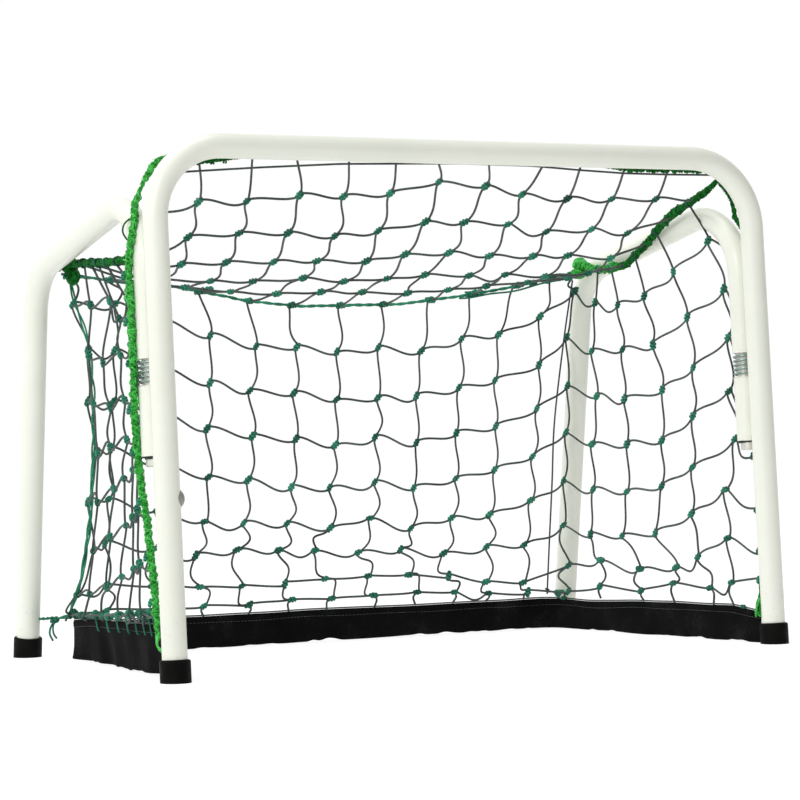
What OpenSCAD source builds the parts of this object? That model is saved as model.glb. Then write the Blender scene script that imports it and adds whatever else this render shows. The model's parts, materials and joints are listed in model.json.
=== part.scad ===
// Folding street and floorball goal: a bent tube front frame, two rear side
// frames that swivel on spring loaded rods, a knotted net and a fabric skirt.
// Millimetres. X runs across the mouth, +Y to the back of the goal, +Z up.
// z = 0 is the ground and the origin is under the middle of the goal.

/* [Goal mouth] */
// Clear width between the posts
opening_w = 600; // [500:10:700]
// Clear height under the crossbar, measured along the posts
opening_h = 450; // [400:10:520]
// Outer diameter of all frame tubes
tube_d = 22; // [20:1:25]
// Wall thickness of the frame tubes
tube_wall = 1.2; // [1:0.1:2]
// Centre line radius of the two top corners
corner_r = 65; // [50:5:90]
// How far the front frame leans back, in degrees
front_lean = 3.4; // [2:0.1:6]

/* [Rear side frames] */
// Distance from the post's axis to the swivel axis behind it
pivot_offset = 24; // [24:0.5:27]
// Height along the arm where arm and top rail would meet
arm_top = 426; // [410:1:440]
// Length of the top rail between the two bends' corners
rail_len = 271.7; // [240:0.1:300]
// How far the top rail falls to the rear, in degrees from square to the arm
rail_fall = 9.5; // [5:0.1:14]
// How far the leg rakes to the rear, in degrees from the arm's direction
leg_rake = 10.9; // [6:0.1:14]
// Centre line radius of the upper bend
upper_r = 62; // [50:1:70]
// Centre line radius of the rear bend
rear_r = 53; // [40:1:60]
// How far each open rear frame points inwards, in degrees
toe_in = 1.75; // [0:0.05:3]

/* [Swivels] */
// Height along the post of the sleeve's top end
sleeve_top = 254; // [230:1:280]
// Length of the sleeve
sleeve_len = 60; // [50:1:70]
// Gap between sleeve and arm that the washer and spring fill
spring_gap = 24; // [20:0.5:28]
// Diameter of the swivel rod
rod_d = 15; // [13:0.5:16]
// How far the rod reaches up into the arm
rod_in_arm = 34; // [25:1:50]
// How far the rod sticks out below the sleeve
rod_below = 9; // [8:0.5:16]
// Wire diameter of the lock spring
wire_d = 2; // [1.5:0.1:2.5]
// Working coils of the lock spring
coils = 5; // [4:0.5:6]
// Diameter of the cross pin
pin_d = 5; // [4:0.5:6]
// Depth of the stop window in the sleeve's lower end
window_h = 7.5; // [7:0.5:10]
// Fold travel that the stop window allows, in degrees
fold_angle = 88; // [80:1:90]

/* [Foot caps] */
// Outer diameter of a rubber foot cap
cap_d = 27; // [26:0.5:30]
// Height of a foot cap
cap_h = 19.5; // [18:0.5:30]
// Rubber under the tube's end
cap_base = 5; // [4:0.5:8]

/* [Net and ropes] */
// Thickness of the net panels, which is the twine
twine = 1.5; // [1:0.5:3]
// Diameter of the lashings along the posts and over the sides
lash_d = 8; // [6:0.5:10]
// Height of the fabric skirt
skirt_h = 37; // [30:1:45]
// Thickness of the skirt fabric
skirt_t = 2.4; // [2:0.1:3]

/* [Hidden] */
$fn = 64;
tube_r = tube_d / 2;
post_x = opening_w / 2 + tube_r;
bar_s = opening_h + tube_r;
rear_bend_t = rail_len * cos(rail_fall);
rear_bend_s = arm_top - rail_len * sin(rail_fall);
foot_s = (pivot_offset + rear_bend_t + rear_bend_s * tan(leg_rake)) * tan(front_lean) / (1 + tan(leg_rake) * tan(front_lean));
rear_foot_t = rear_bend_t + (rear_bend_s - foot_s) * tan(leg_rake);
foot_y = (pivot_offset + rear_foot_t) / cos(front_lean);
leg_lean = leg_rake - front_lean;
leg_len = (rear_bend_s - foot_s) / cos(leg_rake);
rear_foot_x = post_x - rear_foot_t * sin(toe_in);
rear_foot_y = foot_y - rear_foot_t * (1 - cos(toe_in)) * cos(front_lean);
y_front = -cap_d / 2 / cos(front_lean);
y_rear = foot_y + cap_d / 2 / cos(leg_lean);
y_mid = -(y_front + y_rear) / 2;
arm_end = sleeve_top + spring_gap;
sleeve_end = sleeve_top - sleeve_len;
rod_end = sleeve_end - rod_below;
pin_s = sleeve_end + window_h - pin_d / 2 - 0.2;
cream = [0.93, 0.93, 0.88];
steel = [0.62, 0.64, 0.62];
black = [0.07, 0.07, 0.06];
net_green = [0.12, 0.40, 0.30];
lash_green = [0.16, 0.62, 0.24];
dark_green = [0.08, 0.30, 0.12];
l = -1;
r = 1;

// ---- small helpers ----
function unit(v) = v / norm(v);
function lerp(a, b, t) = a + (b - a) * t;

module wall_ring(d, wall) {
  difference() {
    circle(d = d);
    circle(d = d - 2 * wall);
  }
}

// A bent tube from the origin along +X that turns towards +Y. runs are the
// lengths from corner to corner, bends are [angle, centre line radius]. A
// hair-thin band joins each straight to its bend.
module bent_tube(runs, bends, d, wall, i = 0) {
  a = i < len(bends) ? bends[i][0] : 0;
  rad = i < len(bends) ? bends[i][1] : 0;
  len = runs[i] - rad * tan(a / 2) - (i > 0 ? bends[i - 1][1] * tan(bends[i - 1][0] / 2) : 0);
  in = i > 0 ? 0.01 : 0;
  out = i < len(bends) ? 0.01 : 0;
  translate([in, 0, 0]) rotate([0, 90, 0]) linear_extrude(height = len - in - out) wall_ring(d, wall);
  for (x = [for (e = [[in, 0], [out, len]]) if (e[0] > 0) e[1]])
    translate([x - 0.2, 0, 0]) rotate([0, 90, 0]) linear_extrude(height = 0.4) wall_ring(d + 0.02, wall + 0.02);
  if (i < len(bends)) translate([len, rad, 0]) {
    rotate([0, 0, -90]) rotate_extrude(angle = a) translate([rad, 0]) wall_ring(d, wall);
    rotate([0, 0, a]) translate([0, -rad, 0]) bent_tube(runs, bends, d, wall, i + 1);
  }
}

// From the shared plan to one post: side is -1 on the left and 1 on the right.
// Inside, Z runs up the post and Y straight back from it.
module at_post(side) translate([side * post_x, y_mid, 0]) rotate([-front_lean, 0, 0]) children();
// The same on the swivel axis behind the post
module at_arm(side) at_post(side) translate([0, pivot_offset, 0]) children();
// Loose parts that are placed from the mouth's ground line
module in_goal() translate([0, y_mid, 0]) children();

// ---- frame ----
module front_frame() color(cream)
  at_post(l) translate([0, 0, cap_base]) rotate([0, -90, -90])
    bent_tube([bar_s - cap_base, 2 * post_x, bar_s - cap_base], [[90, corner_r], [90, corner_r]], tube_d, tube_wall);

module rear_frame(side) color(cream)
  at_arm(side) translate([0, 0, arm_end]) rotate([0, 0, side * toe_in]) rotate([0, -90, 0])
    bent_tube([arm_top - arm_end, rail_len, leg_len - cap_base], [[90 + rail_fall, upper_r], [90 - rail_fall - leg_rake, rear_r]], tube_d, tube_wall);
module rear_frame_left() rear_frame(l);
module rear_frame_right() rear_frame(r);

// ---- rubber foot caps, cut level with the ground ----
module foot_cap(lean) color(black)
  difference() {
    rotate([lean, 0, 0]) rotate_extrude()
      polygon([[0, -6], [cap_d / 2, -6], [cap_d / 2, cap_h - 1.2], [cap_d / 2 - 1.2, cap_h],
        [tube_r + 0.06, cap_h], [tube_r + 0.06, cap_base - 0.1], [0, cap_base - 0.1]]);
    translate([-40, -40, -20]) cube([80, 80, 20]);
  }
module foot_cap_front_left() translate([-post_x, y_mid, 0]) foot_cap(-front_lean);
module foot_cap_front_right() translate([post_x, y_mid, 0]) foot_cap(-front_lean);
module foot_cap_rear_left() translate([-rear_foot_x, y_mid + rear_foot_y, 0]) rotate([0, 0, -toe_in]) foot_cap(leg_lean);
module foot_cap_rear_right() translate([rear_foot_x, y_mid + rear_foot_y, 0]) rotate([0, 0, toe_in]) foot_cap(leg_lean);

// ---- swivels ----
// Sleeve with its two weld beads to the post and the stop window in its lower end
module pivot_sleeve(side) color(cream)
  at_arm(side) difference() {
    union() {
      translate([0, 0, sleeve_end]) cylinder(d = tube_d, h = sleeve_len);
      for (s = [sleeve_end + 5, sleeve_top - 17])
        translate([-3, -pivot_offset + tube_r - 0.35, s]) cube([6, pivot_offset - tube_d + 2.5, 12]);
    }
    translate([0, 0, sleeve_end - 1]) cylinder(d = rod_d + 0.1, h = sleeve_len + 2);
    translate([0, 0, sleeve_end - 1]) linear_extrude(height = window_h + 1)
      let (w = fold_angle / 2 + 21)
        polygon([[0, 0], [30 * cos(90 - w), 30 * sin(90 - w)], [30, 30], [0, 40], [-30, 30], [30 * cos(90 + w), 30 * sin(90 + w)]]);
  }
module pivot_sleeve_left() pivot_sleeve(l);
module pivot_sleeve_right() pivot_sleeve(r);

// Rod that hangs from the arm, turns and slides in the sleeve
module pivot_rod(side) color(steel)
  at_arm(side) difference() {
    rotate_extrude() polygon([[0, rod_end], [rod_d / 2 - 1, rod_end], [rod_d / 2, rod_end + 1],
      [rod_d / 2, arm_end + rod_in_arm], [0, arm_end + rod_in_arm]]);
    translate([0, 0, pin_s]) rotate([0, 90, 90 - side * 45]) cylinder(d = pin_d, h = 40, center = true);
  }
module pivot_rod_left() pivot_rod(l);
module pivot_rod_right() pivot_rod(r);

// Plug that holds the rod in the arm's end
module arm_plug(side) color(steel)
  at_arm(side) translate([0, 0, arm_end + 0.5]) difference() {
    cylinder(d = tube_d - 2 * tube_wall - 0.1, h = rod_in_arm - 4);
    translate([0, 0, -1]) cylinder(d = rod_d, h = rod_in_arm);
  }
module arm_plug_left() arm_plug(l);
module arm_plug_right() arm_plug(r);

module thrust_washer(side) color(steel)
  at_arm(side) translate([0, 0, sleeve_top + 0.05]) difference() {
    cylinder(d = tube_d, h = 1.2);
    translate([0, 0, -1]) cylinder(d = rod_d + 0.5, h = 4);
  }
module thrust_washer_left() thrust_washer(l);
module thrust_washer_right() thrust_washer(r);

// Coil spring as a swept wire
function coil_ring(k, n, turns, h, cr, wr, m) =
  let (u = k / n, a = 360 * turns * u, c = [cr * cos(a), cr * sin(a), wr + (h - 2 * wr) * u],
       rise = (h - 2 * wr) / (turns * 2 * PI * cr), t = unit([-sin(a), cos(a), rise]),
       e = [cos(a), sin(a), 0], f = cross(t, e))
    [for (j = [0:m - 1]) c + wr * (cos(360 * j / m) * e + sin(360 * j / m) * f)];
module swept(rings) {
  n = len(rings);
  m = len(rings[0]);
  polyhedron(points = [for (q = rings) each q],
    faces = concat([[for (j = [0:m - 1]) j]],
      [for (i = [0:n - 2]) for (j = [0:m - 1]) [i * m + j, (i + 1) * m + j, (i + 1) * m + (j + 1) % m, i * m + (j + 1) % m]],
      [[for (j = [m - 1:-1:0]) (n - 1) * m + j]]), convexity = 8);
}
module lock_spring(side) color(steel)
  at_arm(side) translate([0, 0, sleeve_top + 1.4])
    swept([for (k = [0:coils * 18]) coil_ring(k, coils * 18, coils, spring_gap - 1.6, tube_r - wire_d / 2, wire_d / 2, 8)]);
module lock_spring_left() lock_spring(l);
module lock_spring_right() lock_spring(r);

// Cross pin that runs in the stop window
module lock_pin(side) color(steel)
  at_arm(side) translate([0, 0, pin_s]) rotate([0, 90, 90 - side * 45])
    translate([0, 0, -rod_d / 2 + 0.5]) cylinder(d = pin_d, h = rod_d + 3.2);
module lock_pin_left() lock_pin(l);
module lock_pin_right() lock_pin(r);

// Domed bumper on the inner side of the left post
module post_bumper() color(steel)
  at_post(l) difference() {
    translate([5.5, 0, 156]) rotate_extrude() intersection() {
      circle(r = 9.5);
      translate([0, -10]) square([10, 20]);
    }
    cylinder(d = tube_d + 0.1, h = 300);
  }

// ---- soft parts: plain solids of the net, its ropes and the skirt ----
// Rope of diameter d along the corners p, sides perpendicular to the path
function path_dir(p, i) = unit(p[min(i + 1, len(p) - 1)] - p[max(i - 1, 0)]);
function rope_ring(p, i, d, up) =
  let (t = path_dir(p, i), e = unit(cross(t, up)), f = cross(t, e))
    [for (j = [0:7]) p[i] + d / 2 * (cos(45 * j) * e + sin(45 * j) * f)];
function corner_cut(p, k) = k == 0 ? p :
  corner_cut([p[0], for (i = [0:len(p) - 2]) each [lerp(p[i], p[i + 1], 0.25), lerp(p[i], p[i + 1], 0.75)], p[len(p) - 1]], k - 1);
module rope(p, d, up, smooth = 1) let (q = corner_cut(p, smooth)) swept([for (i = [0:len(q) - 1]) rope_ring(q, i, d, up)]);

// Thin curved panel between four corners; bulge pushes its middle by a vector
function patch(a, b, c, e, bulge, sag, u, v) =
  lerp(lerp(a, b, u), lerp(e, c, u), v) + bulge * sin(180 * u) * sin(180 * v) + sag * sin(180 * u) * v;
module panel(a, b, c, e, bulge, sag, th, off, nu = 10, nv = 4) {
  top = [for (j = [0:nv]) for (i = [0:nu]) patch(a, b, c, e, bulge, sag, i / nu, j / nv)];
  m = len(top);
  w = nu + 1;
  polyhedron(points = concat([for (q = top) q + off * th / 2], [for (q = top) q - off * th / 2]),
    faces = concat(
      [for (j = [0:nv - 1]) for (i = [0:nu - 1]) each [[j * w + i, j * w + i + 1, (j + 1) * w + i + 1], [j * w + i, (j + 1) * w + i + 1, (j + 1) * w + i]]],
      [for (j = [0:nv - 1]) for (i = [0:nu - 1]) each [[m + j * w + i, m + (j + 1) * w + i + 1, m + j * w + i + 1], [m + j * w + i, m + (j + 1) * w + i, m + (j + 1) * w + i + 1]]],
      [for (i = [0:nu - 1]) each [[i, m + i, m + i + 1], [i, m + i + 1, i + 1], [nv * w + i, nv * w + i + 1, m + nv * w + i + 1], [nv * w + i, m + nv * w + i + 1, m + nv * w + i]]],
      [for (j = [0:nv - 1]) each [[j * w, (j + 1) * w, m + (j + 1) * w], [j * w, m + (j + 1) * w, m + j * w], [j * w + nu, m + (j + 1) * w + nu, (j + 1) * w + nu], [j * w + nu, m + j * w + nu, m + (j + 1) * w + nu]]]), convexity = 4);
}

// Corners of the net, from the ground line between the front feet
top_l = [-280, 47, 437];
top_r = [280, 47, 437];
back_l = [-273, 292, 360];
back_r = [273, 292, 364];
low_l = [-271, 336, 44];
low_r = [271, 336, 44];
rear_sag = [0, 0, -30];

module net_top() color(net_green) in_goal()
  panel(top_l + [3, 0, 0], top_r - [3, 0, 0], back_r + [-3, -5, 1], back_l + [3, -5, 1], [0, 0, -18], rear_sag, twine, [0, 0, 1]);
module net_back() color(net_green) in_goal()
  panel(low_l + [4, 0, 2], low_r + [-4, 0, 2], back_r + [-4, 3, -6], back_l + [4, 3, -6], [0, -4, 0], rear_sag, twine, [0, 1, 0]);
module net_side(side, a, b, c, e) color(net_green) in_goal()
  panel(a, b, c, e, [-side * 3, 0, 0], [0, 0, 0], twine, [side, 0, 0], 6, 4);
module net_left() net_side(l, [-312, 37, 46], [-277, 326, 46], [-279, 284, 350], [-321, 67, 356]);
module net_right() net_side(r, [303, 38, 46], [277, 326, 46], [279, 284, 354], [294, 82, 400]);

// Rope behind the crossbar that carries the net's front edge
module crossbar_rope() color(net_green) in_goal()
  rope([[-282, 42, 441], [-220, 43, 447], [-120, 43, 450], [0, 43, 451], [120, 43, 450], [220, 43, 447], [282, 42, 441]], 4, [0, 1, 0]);
// Rope along the net's rear top edge
module rear_rope() color(net_green) in_goal()
  rope([for (i = [0:10]) lerp(back_l, back_r, i / 10) + rear_sag * sin(18 * i) + [0, 1, -1]], 5, [0, 1, 0]);
// Rope round the foot of the net, on top of the skirt
module ground_rope() color(net_green) in_goal()
  rope([[-307, 24, 43], [-291, 180, 42], [-276, 328, 41], [-268, 338, 41], [0, 340, 41], [268, 338, 41], [276, 328, 41], [291, 180, 42], [301, 30, 43]], 4, [0, 0, 1], 2);
module corner_seam(side) color(net_green) in_goal()
  rope([[side * 277, 295, side < 0 ? 350 : 354], [side * 275, 306, 230], [side * 275, 322, 130], [side * 276, 336, 47]], 4, [1, 0, 0]);
module corner_seam_left() corner_seam(l);
module corner_seam_right() corner_seam(r);

// Thick lashing over each side, from the rear corner to the front
module side_lashing_left() color(dark_green) in_goal()
  rope([[-284, 279, 369], [-289, 250, 368.5], [-295, 216, 367], [-304, 165, 364.5], [-309, 135, 363], [-313, 111, 362.5], [-318, 76, 362.5], [-321, 64, 363]], lash_d, [0, 0, 1]);
module side_lashing_right() color(dark_green) in_goal()
  rope([[283.5, 285, 374.5], [285, 270, 370], [287, 248, 367], [289, 221, 368.5], [289.5, 209, 371], [290, 182, 384.5], [290, 152, 402],
    [290, 128, 413], [290, 102, 422], [289.5, 83, 428], [289, 60, 435.5]], lash_d, [0, 0, 1]);

// Lashing of the net's front edge, over the bend of each arm and down beside it
arm_run = [[326, 46.3, 380], [327, 49, 366], [327, 49, 347], [327, 47, 329], [327, 45.5, 300], [327, 43.5, 250], [327, 43, 220]];
module post_lashing(side, head, foot) color(lash_green) in_goal()
  rope(concat(head, [for (p = arm_run) [side * p[0], p[1], p[2]]], foot), lash_d, [0, 1, 0]);
module post_lashing_left()
  post_lashing(l, [[-288, 44, 452.5], [-301, 48, 448], [-303, 56, 423], [-309.5, 57.5, 409], [-319, 48.5, 396.5]],
    [[-323, 42, 170], [-319.5, 39, 137], [-317, 34, 95], [-316.5, 28.5, 69], [-317, 22, 35.5]]);
module post_lashing_right()
  post_lashing(r, [[290, 48, 442.5], [305, 49, 426.5], [311, 49, 406], [321, 46, 389]],
    [[325, 42, 170], [324, 38, 137], [322, 33, 95], [319, 27, 69], [312, 21, 46], [308, 18.5, 33]]);

// Short ties from the net's rear corners to the rear frames
module corner_tie(side) color(dark_green) in_goal()
  rope([[side * 284.5, 290, 366], [side * 288, 292.5, 368], [side * 291.3, 295.5, 369]], 5, [0, 0, 1], 0);
module corner_tie_left() corner_tie(l);
module corner_tie_right() corner_tie(r);
module foot_tie(side) color(net_green) in_goal()
  rope([[side * 280, 340, 40], [side * 286.5, 343.5, 38], [side * 292.5, 348.5, 36.5]], 4, [0, 0, 1], 0);
module foot_tie_left() foot_tie(l);
module foot_tie_right() foot_tie(r);

// Fabric skirt round the two sides and the back
skirt_path = [[-303, 23], [-276, 330], [-266, 339], [266, 339], [276, 330], [303, 23]];
module skirt() color(black) in_goal()
  translate([0, 0, 0.2]) linear_extrude(height = skirt_h) difference() {
    polygon([for (i = [0:5]) skirt_path[i]]);
    polygon([[-303 + skirt_t, 22], [-276 + skirt_t, 329], [-266 + skirt_t / 2, 339 - skirt_t], [266 - skirt_t / 2, 339 - skirt_t], [276 - skirt_t, 329], [303 - skirt_t, 22]]);
  }

front_frame();
rear_frame_left();
rear_frame_right();
foot_cap_front_left();
foot_cap_front_right();
foot_cap_rear_left();
foot_cap_rear_right();
pivot_sleeve_left();
pivot_sleeve_right();
pivot_rod_left();
pivot_rod_right();
arm_plug_left();
arm_plug_right();
thrust_washer_left();
thrust_washer_right();
lock_spring_left();
lock_spring_right();
lock_pin_left();
lock_pin_right();
post_bumper();
crossbar_rope();
net_top();
net_back();
net_left();
net_right();
rear_rope();
ground_rope();
corner_seam_left();
corner_seam_right();
side_lashing_left();
side_lashing_right();
post_lashing_left();
post_lashing_right();
corner_tie_left();
corner_tie_right();
foot_tie_left();
foot_tie_right();
skirt();
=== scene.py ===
import json
import math
import bpy
import numpy as np
from mathutils import Matrix, Vector


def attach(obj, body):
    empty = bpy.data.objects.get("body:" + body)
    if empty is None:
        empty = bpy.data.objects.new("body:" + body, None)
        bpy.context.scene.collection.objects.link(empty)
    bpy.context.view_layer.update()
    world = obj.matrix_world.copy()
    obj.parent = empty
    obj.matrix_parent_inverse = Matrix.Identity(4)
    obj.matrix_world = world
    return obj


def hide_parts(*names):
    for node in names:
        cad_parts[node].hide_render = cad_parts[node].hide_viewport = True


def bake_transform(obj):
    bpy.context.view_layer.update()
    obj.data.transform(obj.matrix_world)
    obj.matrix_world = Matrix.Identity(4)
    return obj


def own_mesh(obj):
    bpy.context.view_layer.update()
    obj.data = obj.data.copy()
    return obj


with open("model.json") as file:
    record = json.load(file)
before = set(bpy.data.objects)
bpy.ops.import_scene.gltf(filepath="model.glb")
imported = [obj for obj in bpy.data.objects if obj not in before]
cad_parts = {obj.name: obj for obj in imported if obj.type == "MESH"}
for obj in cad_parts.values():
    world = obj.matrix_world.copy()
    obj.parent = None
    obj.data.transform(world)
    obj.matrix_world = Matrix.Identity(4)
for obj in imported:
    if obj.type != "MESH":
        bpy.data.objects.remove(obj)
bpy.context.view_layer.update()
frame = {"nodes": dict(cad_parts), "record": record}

# All measures below are millimetres from the mouth's ground line: x across, y to the back, z up.
# YM shifts them to the row frame, whose origin is under the middle of the goal.
YM = -180.985
POST_X, LEAN = 311.0, math.radians(3.4)


def metres(p):
    q = np.array(p, float)
    q[..., 1] += YM
    return q / 1000.0


def unit(v):
    v = np.asarray(v, float)
    return v / max(np.linalg.norm(v), 1e-9)


def ease(t):
    t = np.clip(t, 0, 1)
    return t * t * (3 - 2 * t)


# ---------------------------------------------------------------- mesh making
class Parts:
    """Collects tubes and strips, then makes one mesh of them."""

    def __init__(self):
        self.v, self.q, self.quv, self.qm, self.t, self.tuv, self.tm, self.s, self.n = [], [], [], [], [], [], [], [], 0

    def add(self, v, quads=None, quv=None, tris=None, tuv=None, mat=0, shade=0.0):
        v = np.asarray(v, float).reshape(-1, 3)
        if quads is not None and len(quads):
            quads = np.asarray(quads, int)
            self.q.append(quads + self.n)
            self.quv.append(np.zeros((len(quads), 4, 2)) if quv is None else np.asarray(quv, float))
            self.qm.append(np.full(len(quads), mat))
        if tris is not None and len(tris):
            tris = np.asarray(tris, int)
            self.t.append(tris + self.n)
            self.tuv.append(np.zeros((len(tris), 3, 2)) if tuv is None else np.asarray(tuv, float))
            self.tm.append(np.full(len(tris), mat))
        self.s.append(np.broadcast_to(np.asarray(shade, float), (len(v),)))
        self.v.append(v)
        self.n += len(v)

    def make(self, name, mats, smooth=True):
        v = metres(np.vstack(self.v))
        q = np.vstack(self.q) if self.q else np.zeros((0, 4), int)
        t = np.vstack(self.t) if self.t else np.zeros((0, 3), int)
        mesh = bpy.data.meshes.new(name)
        mesh.from_pydata(v.tolist(), [], q.tolist() + t.tolist())
        uv = np.concatenate([np.vstack(self.quv).reshape(-1, 2) if self.q else np.zeros((0, 2)),
                             np.vstack(self.tuv).reshape(-1, 2) if self.t else np.zeros((0, 2))])
        layer = mesh.uv_layers.new(name="along")
        layer.data.foreach_set("uv", uv.astype(np.float32).ravel())
        mi = np.concatenate([np.concatenate(self.qm) if self.q else np.zeros(0), np.concatenate(self.tm) if self.t else np.zeros(0)])
        mesh.polygons.foreach_set("material_index", mi.astype(np.int32))
        mesh.polygons.foreach_set("use_smooth", np.full(len(mi), smooth))
        shade = mesh.attributes.new("shade", "FLOAT", "POINT")
        shade.data.foreach_set("value", np.concatenate(self.s).astype(np.float32))
        for m in mats:
            mesh.materials.append(m)
        mesh.update()
        ob = bpy.data.objects.new(name, mesh)
        bpy.context.scene.collection.objects.link(ob)
        return ob


def lengths(p):
    return np.concatenate([[0], np.cumsum(np.linalg.norm(np.diff(p, axis=0), axis=1))])


def even(p, step):
    s = lengths(p)
    m = max(3, int(round(s[-1] / step)) + 1)
    si = np.linspace(0, s[-1], m)
    return np.stack([np.interp(si, s, p[:, k]) for k in range(3)], 1)


def curve(pts, step=2.0):
    """Evenly spaced points of a smooth line through pts."""
    p = np.asarray(pts, float)
    q = np.vstack([2 * p[0] - p[1], p, 2 * p[-1] - p[-2]])
    out = []
    for i in range(1, len(q) - 2):
        a, b, c, d = q[i - 1:i + 3]
        t = np.linspace(0, 1, max(4, int(np.linalg.norm(c - b) / step * 2)), endpoint=False)[:, None]
        out.append(0.5 * (2 * b + (c - a) * t + (2 * a - 5 * b + 4 * c - d) * t ** 2 + (3 * b - a - 3 * c + d) * t ** 3))
    return even(np.vstack(out + [p[-1:]]), step)


def moving_frame(p):
    d = np.diff(p, axis=0)
    d /= np.maximum(np.linalg.norm(d, axis=1), 1e-9)[:, None]
    t = np.vstack([d[:1], d[:-1] + d[1:], d[-1:]])
    t /= np.maximum(np.linalg.norm(t, axis=1), 1e-9)[:, None]
    n = np.empty_like(p)
    start = np.array([0, 0, 1.0]) if abs(t[0][2]) < 0.8 else np.array([1.0, 0, 0])
    n[0] = unit(start - (start @ t[0]) * t[0])
    for i in range(1, len(p)):
        v = n[i - 1] - (n[i - 1] @ t[i]) * t[i]
        n[i] = v / max(math.sqrt(v @ v), 1e-9)
    return t, n, np.cross(t, n)


def tube(parts, p, r, sides=6, mat=0, shade=0.0, lobes=0, depth=0.0, pitch=10.0, u0=0.0):
    """A closed round tube along p. With lobes, its section is a twisted rope's."""
    p = np.asarray(p, float)
    count = len(p)
    t, n, b = moving_frame(p)
    s = lengths(p)
    ang = np.linspace(0, 2 * math.pi, sides, endpoint=False)[None, :]
    rad = np.broadcast_to(np.asarray(r, float), (count,))[:, None] * np.ones((1, sides))
    if lobes:
        rad = rad * (1 - depth + depth * np.abs(np.cos(lobes / 2 * (ang - 2 * math.pi * s[:, None] / pitch))))
    v = p[:, None, :] + rad[..., None] * (np.cos(ang)[..., None] * n[:, None, :] + np.sin(ang)[..., None] * b[:, None, :])
    v = np.vstack([v.reshape(-1, 3), p[:1] - t[:1] * rad[0, 0] * 0.4, p[-1:] + t[-1:] * rad[-1, 0] * 0.4])
    i, j = np.meshgrid(np.arange(count - 1), np.arange(sides), indexing="ij")
    i, j = i.ravel(), j.ravel()
    k = (j + 1) % sides
    quads = np.stack([i * sides + j, i * sides + k, (i + 1) * sides + k, (i + 1) * sides + j], 1)
    u = (u0 + s) / 10.0
    quv = np.stack([np.stack([u[i], j / sides], 1), np.stack([u[i], (j + 1) / sides], 1),
                    np.stack([u[i + 1], (j + 1) / sides], 1), np.stack([u[i + 1], j / sides], 1)], 1)
    js = np.arange(sides)
    a, z = count * sides, count * sides + 1
    last = (count - 1) * sides
    tris = np.vstack([np.stack([np.full(sides, a), (js + 1) % sides, js], 1),
                      np.stack([np.full(sides, z), last + js, last + (js + 1) % sides], 1)])
    shade = np.asarray(shade, float)
    if shade.ndim:
        shade = np.concatenate([np.repeat(shade, sides), shade[:1], shade[-1:]])
    parts.add(v, quads, quv, tris, None, mat, shade)


def wave(a, b, toward, want, lean=-0.25, count=15):
    """A slack strand between two knots: one smooth bow of the wanted length on the side of toward."""
    d = b - a
    gap = max(np.linalg.norm(d), 1e-6)
    d = d / gap
    n = unit(toward - (toward @ d) * d)
    t = np.linspace(0, 1, count)
    f = np.sin(math.pi * t) + lean * np.sin(2 * math.pi * t)
    lo, hi = 0.0, max(want, gap)
    for _ in range(20):
        m = (lo + hi) / 2
        line = a + np.outer(t * gap, d) + np.outer(m * f, n)
        if lengths(line)[-1] > want:
            hi = m
        else:
            lo = m
    return line


def wound(parts, p, radius, strand_r, pitch, phase=0.0, turn=1, mat=0, shade=0.0, rng=None, wobble=0.15, sides=6, per_turn=12):
    """One strand wound round the line p."""
    step = pitch / per_turn
    q = even(np.asarray(p, float), step)
    t, n, b = moving_frame(q)
    s = lengths(q)
    m = len(q)
    if rng is not None:
        knots = rng.normal(0, 1, max(4, int(s[-1] / (pitch * 0.8)) + 2))
        wav = np.interp(s, np.linspace(0, s[-1], len(knots)), knots)
        kn2 = rng.normal(0, 1, max(4, int(s[-1] / (pitch * 1.7)) + 2))
        wa2 = np.interp(s, np.linspace(0, s[-1], len(kn2)), kn2)
    else:
        wav = wa2 = np.zeros(m)
    rad = np.interp(s / max(s[-1], 1e-9), np.linspace(0, 1, np.size(radius)), np.atleast_1d(radius)) * (1 + wobble * wav * 0.5)
    th = turn * 2 * math.pi * s / pitch + phase + wobble * 2.2 * wa2
    line = q + rad[:, None] * (np.cos(th)[:, None] * n + np.sin(th)[:, None] * b)
    sh = shade if np.ndim(shade) == 0 else np.interp(s / s[-1], np.linspace(0, 1, len(shade)), shade)
    if np.ndim(strand_r):
        strand_r = np.interp(s / s[-1], np.linspace(0, 1, len(strand_r)), strand_r)
    tube(parts, line, strand_r, sides, mat, sh)
    return line


def hermite(a, b, ta, tb, n):
    t = np.linspace(0, 1, n)[:, None]
    return (2 * t ** 3 - 3 * t ** 2 + 1) * a + (t ** 3 - 2 * t ** 2 + t) * ta + (3 * t ** 2 - 2 * t ** 3) * b + (t ** 3 - t ** 2) * tb


# ---------------------------------------------------------------- materials
def new_material(name):
    m = bpy.data.materials.new(name)
    m.use_nodes = True
    nt = m.node_tree
    bsdf = nt.nodes["Principled BSDF"]
    return m, nt, bsdf


def node(nt, kind, **values):
    n = nt.nodes.new(kind)
    for k, v in values.items():
        if hasattr(n, k) and k not in n.inputs:
            setattr(n, k, v)
        else:
            n.inputs[k].default_value = v
    return n


def coords(nt, scale=(1, 1, 1), kind="Object"):
    c = nt.nodes.new("ShaderNodeTexCoord")
    m = node(nt, "ShaderNodeMapping")
    m.inputs["Scale"].default_value = scale
    nt.links.new(c.outputs[kind], m.inputs["Vector"])
    return m.outputs["Vector"]


def noise(nt, vec, scale, detail=2.0, rough=0.5):
    n = nt.nodes.new("ShaderNodeTexNoise")
    n.inputs["Scale"].default_value = scale
    n.inputs["Detail"].default_value = detail
    n.inputs["Roughness"].default_value = rough
    nt.links.new(vec, n.inputs["Vector"])
    return n.outputs["Fac"]


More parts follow.
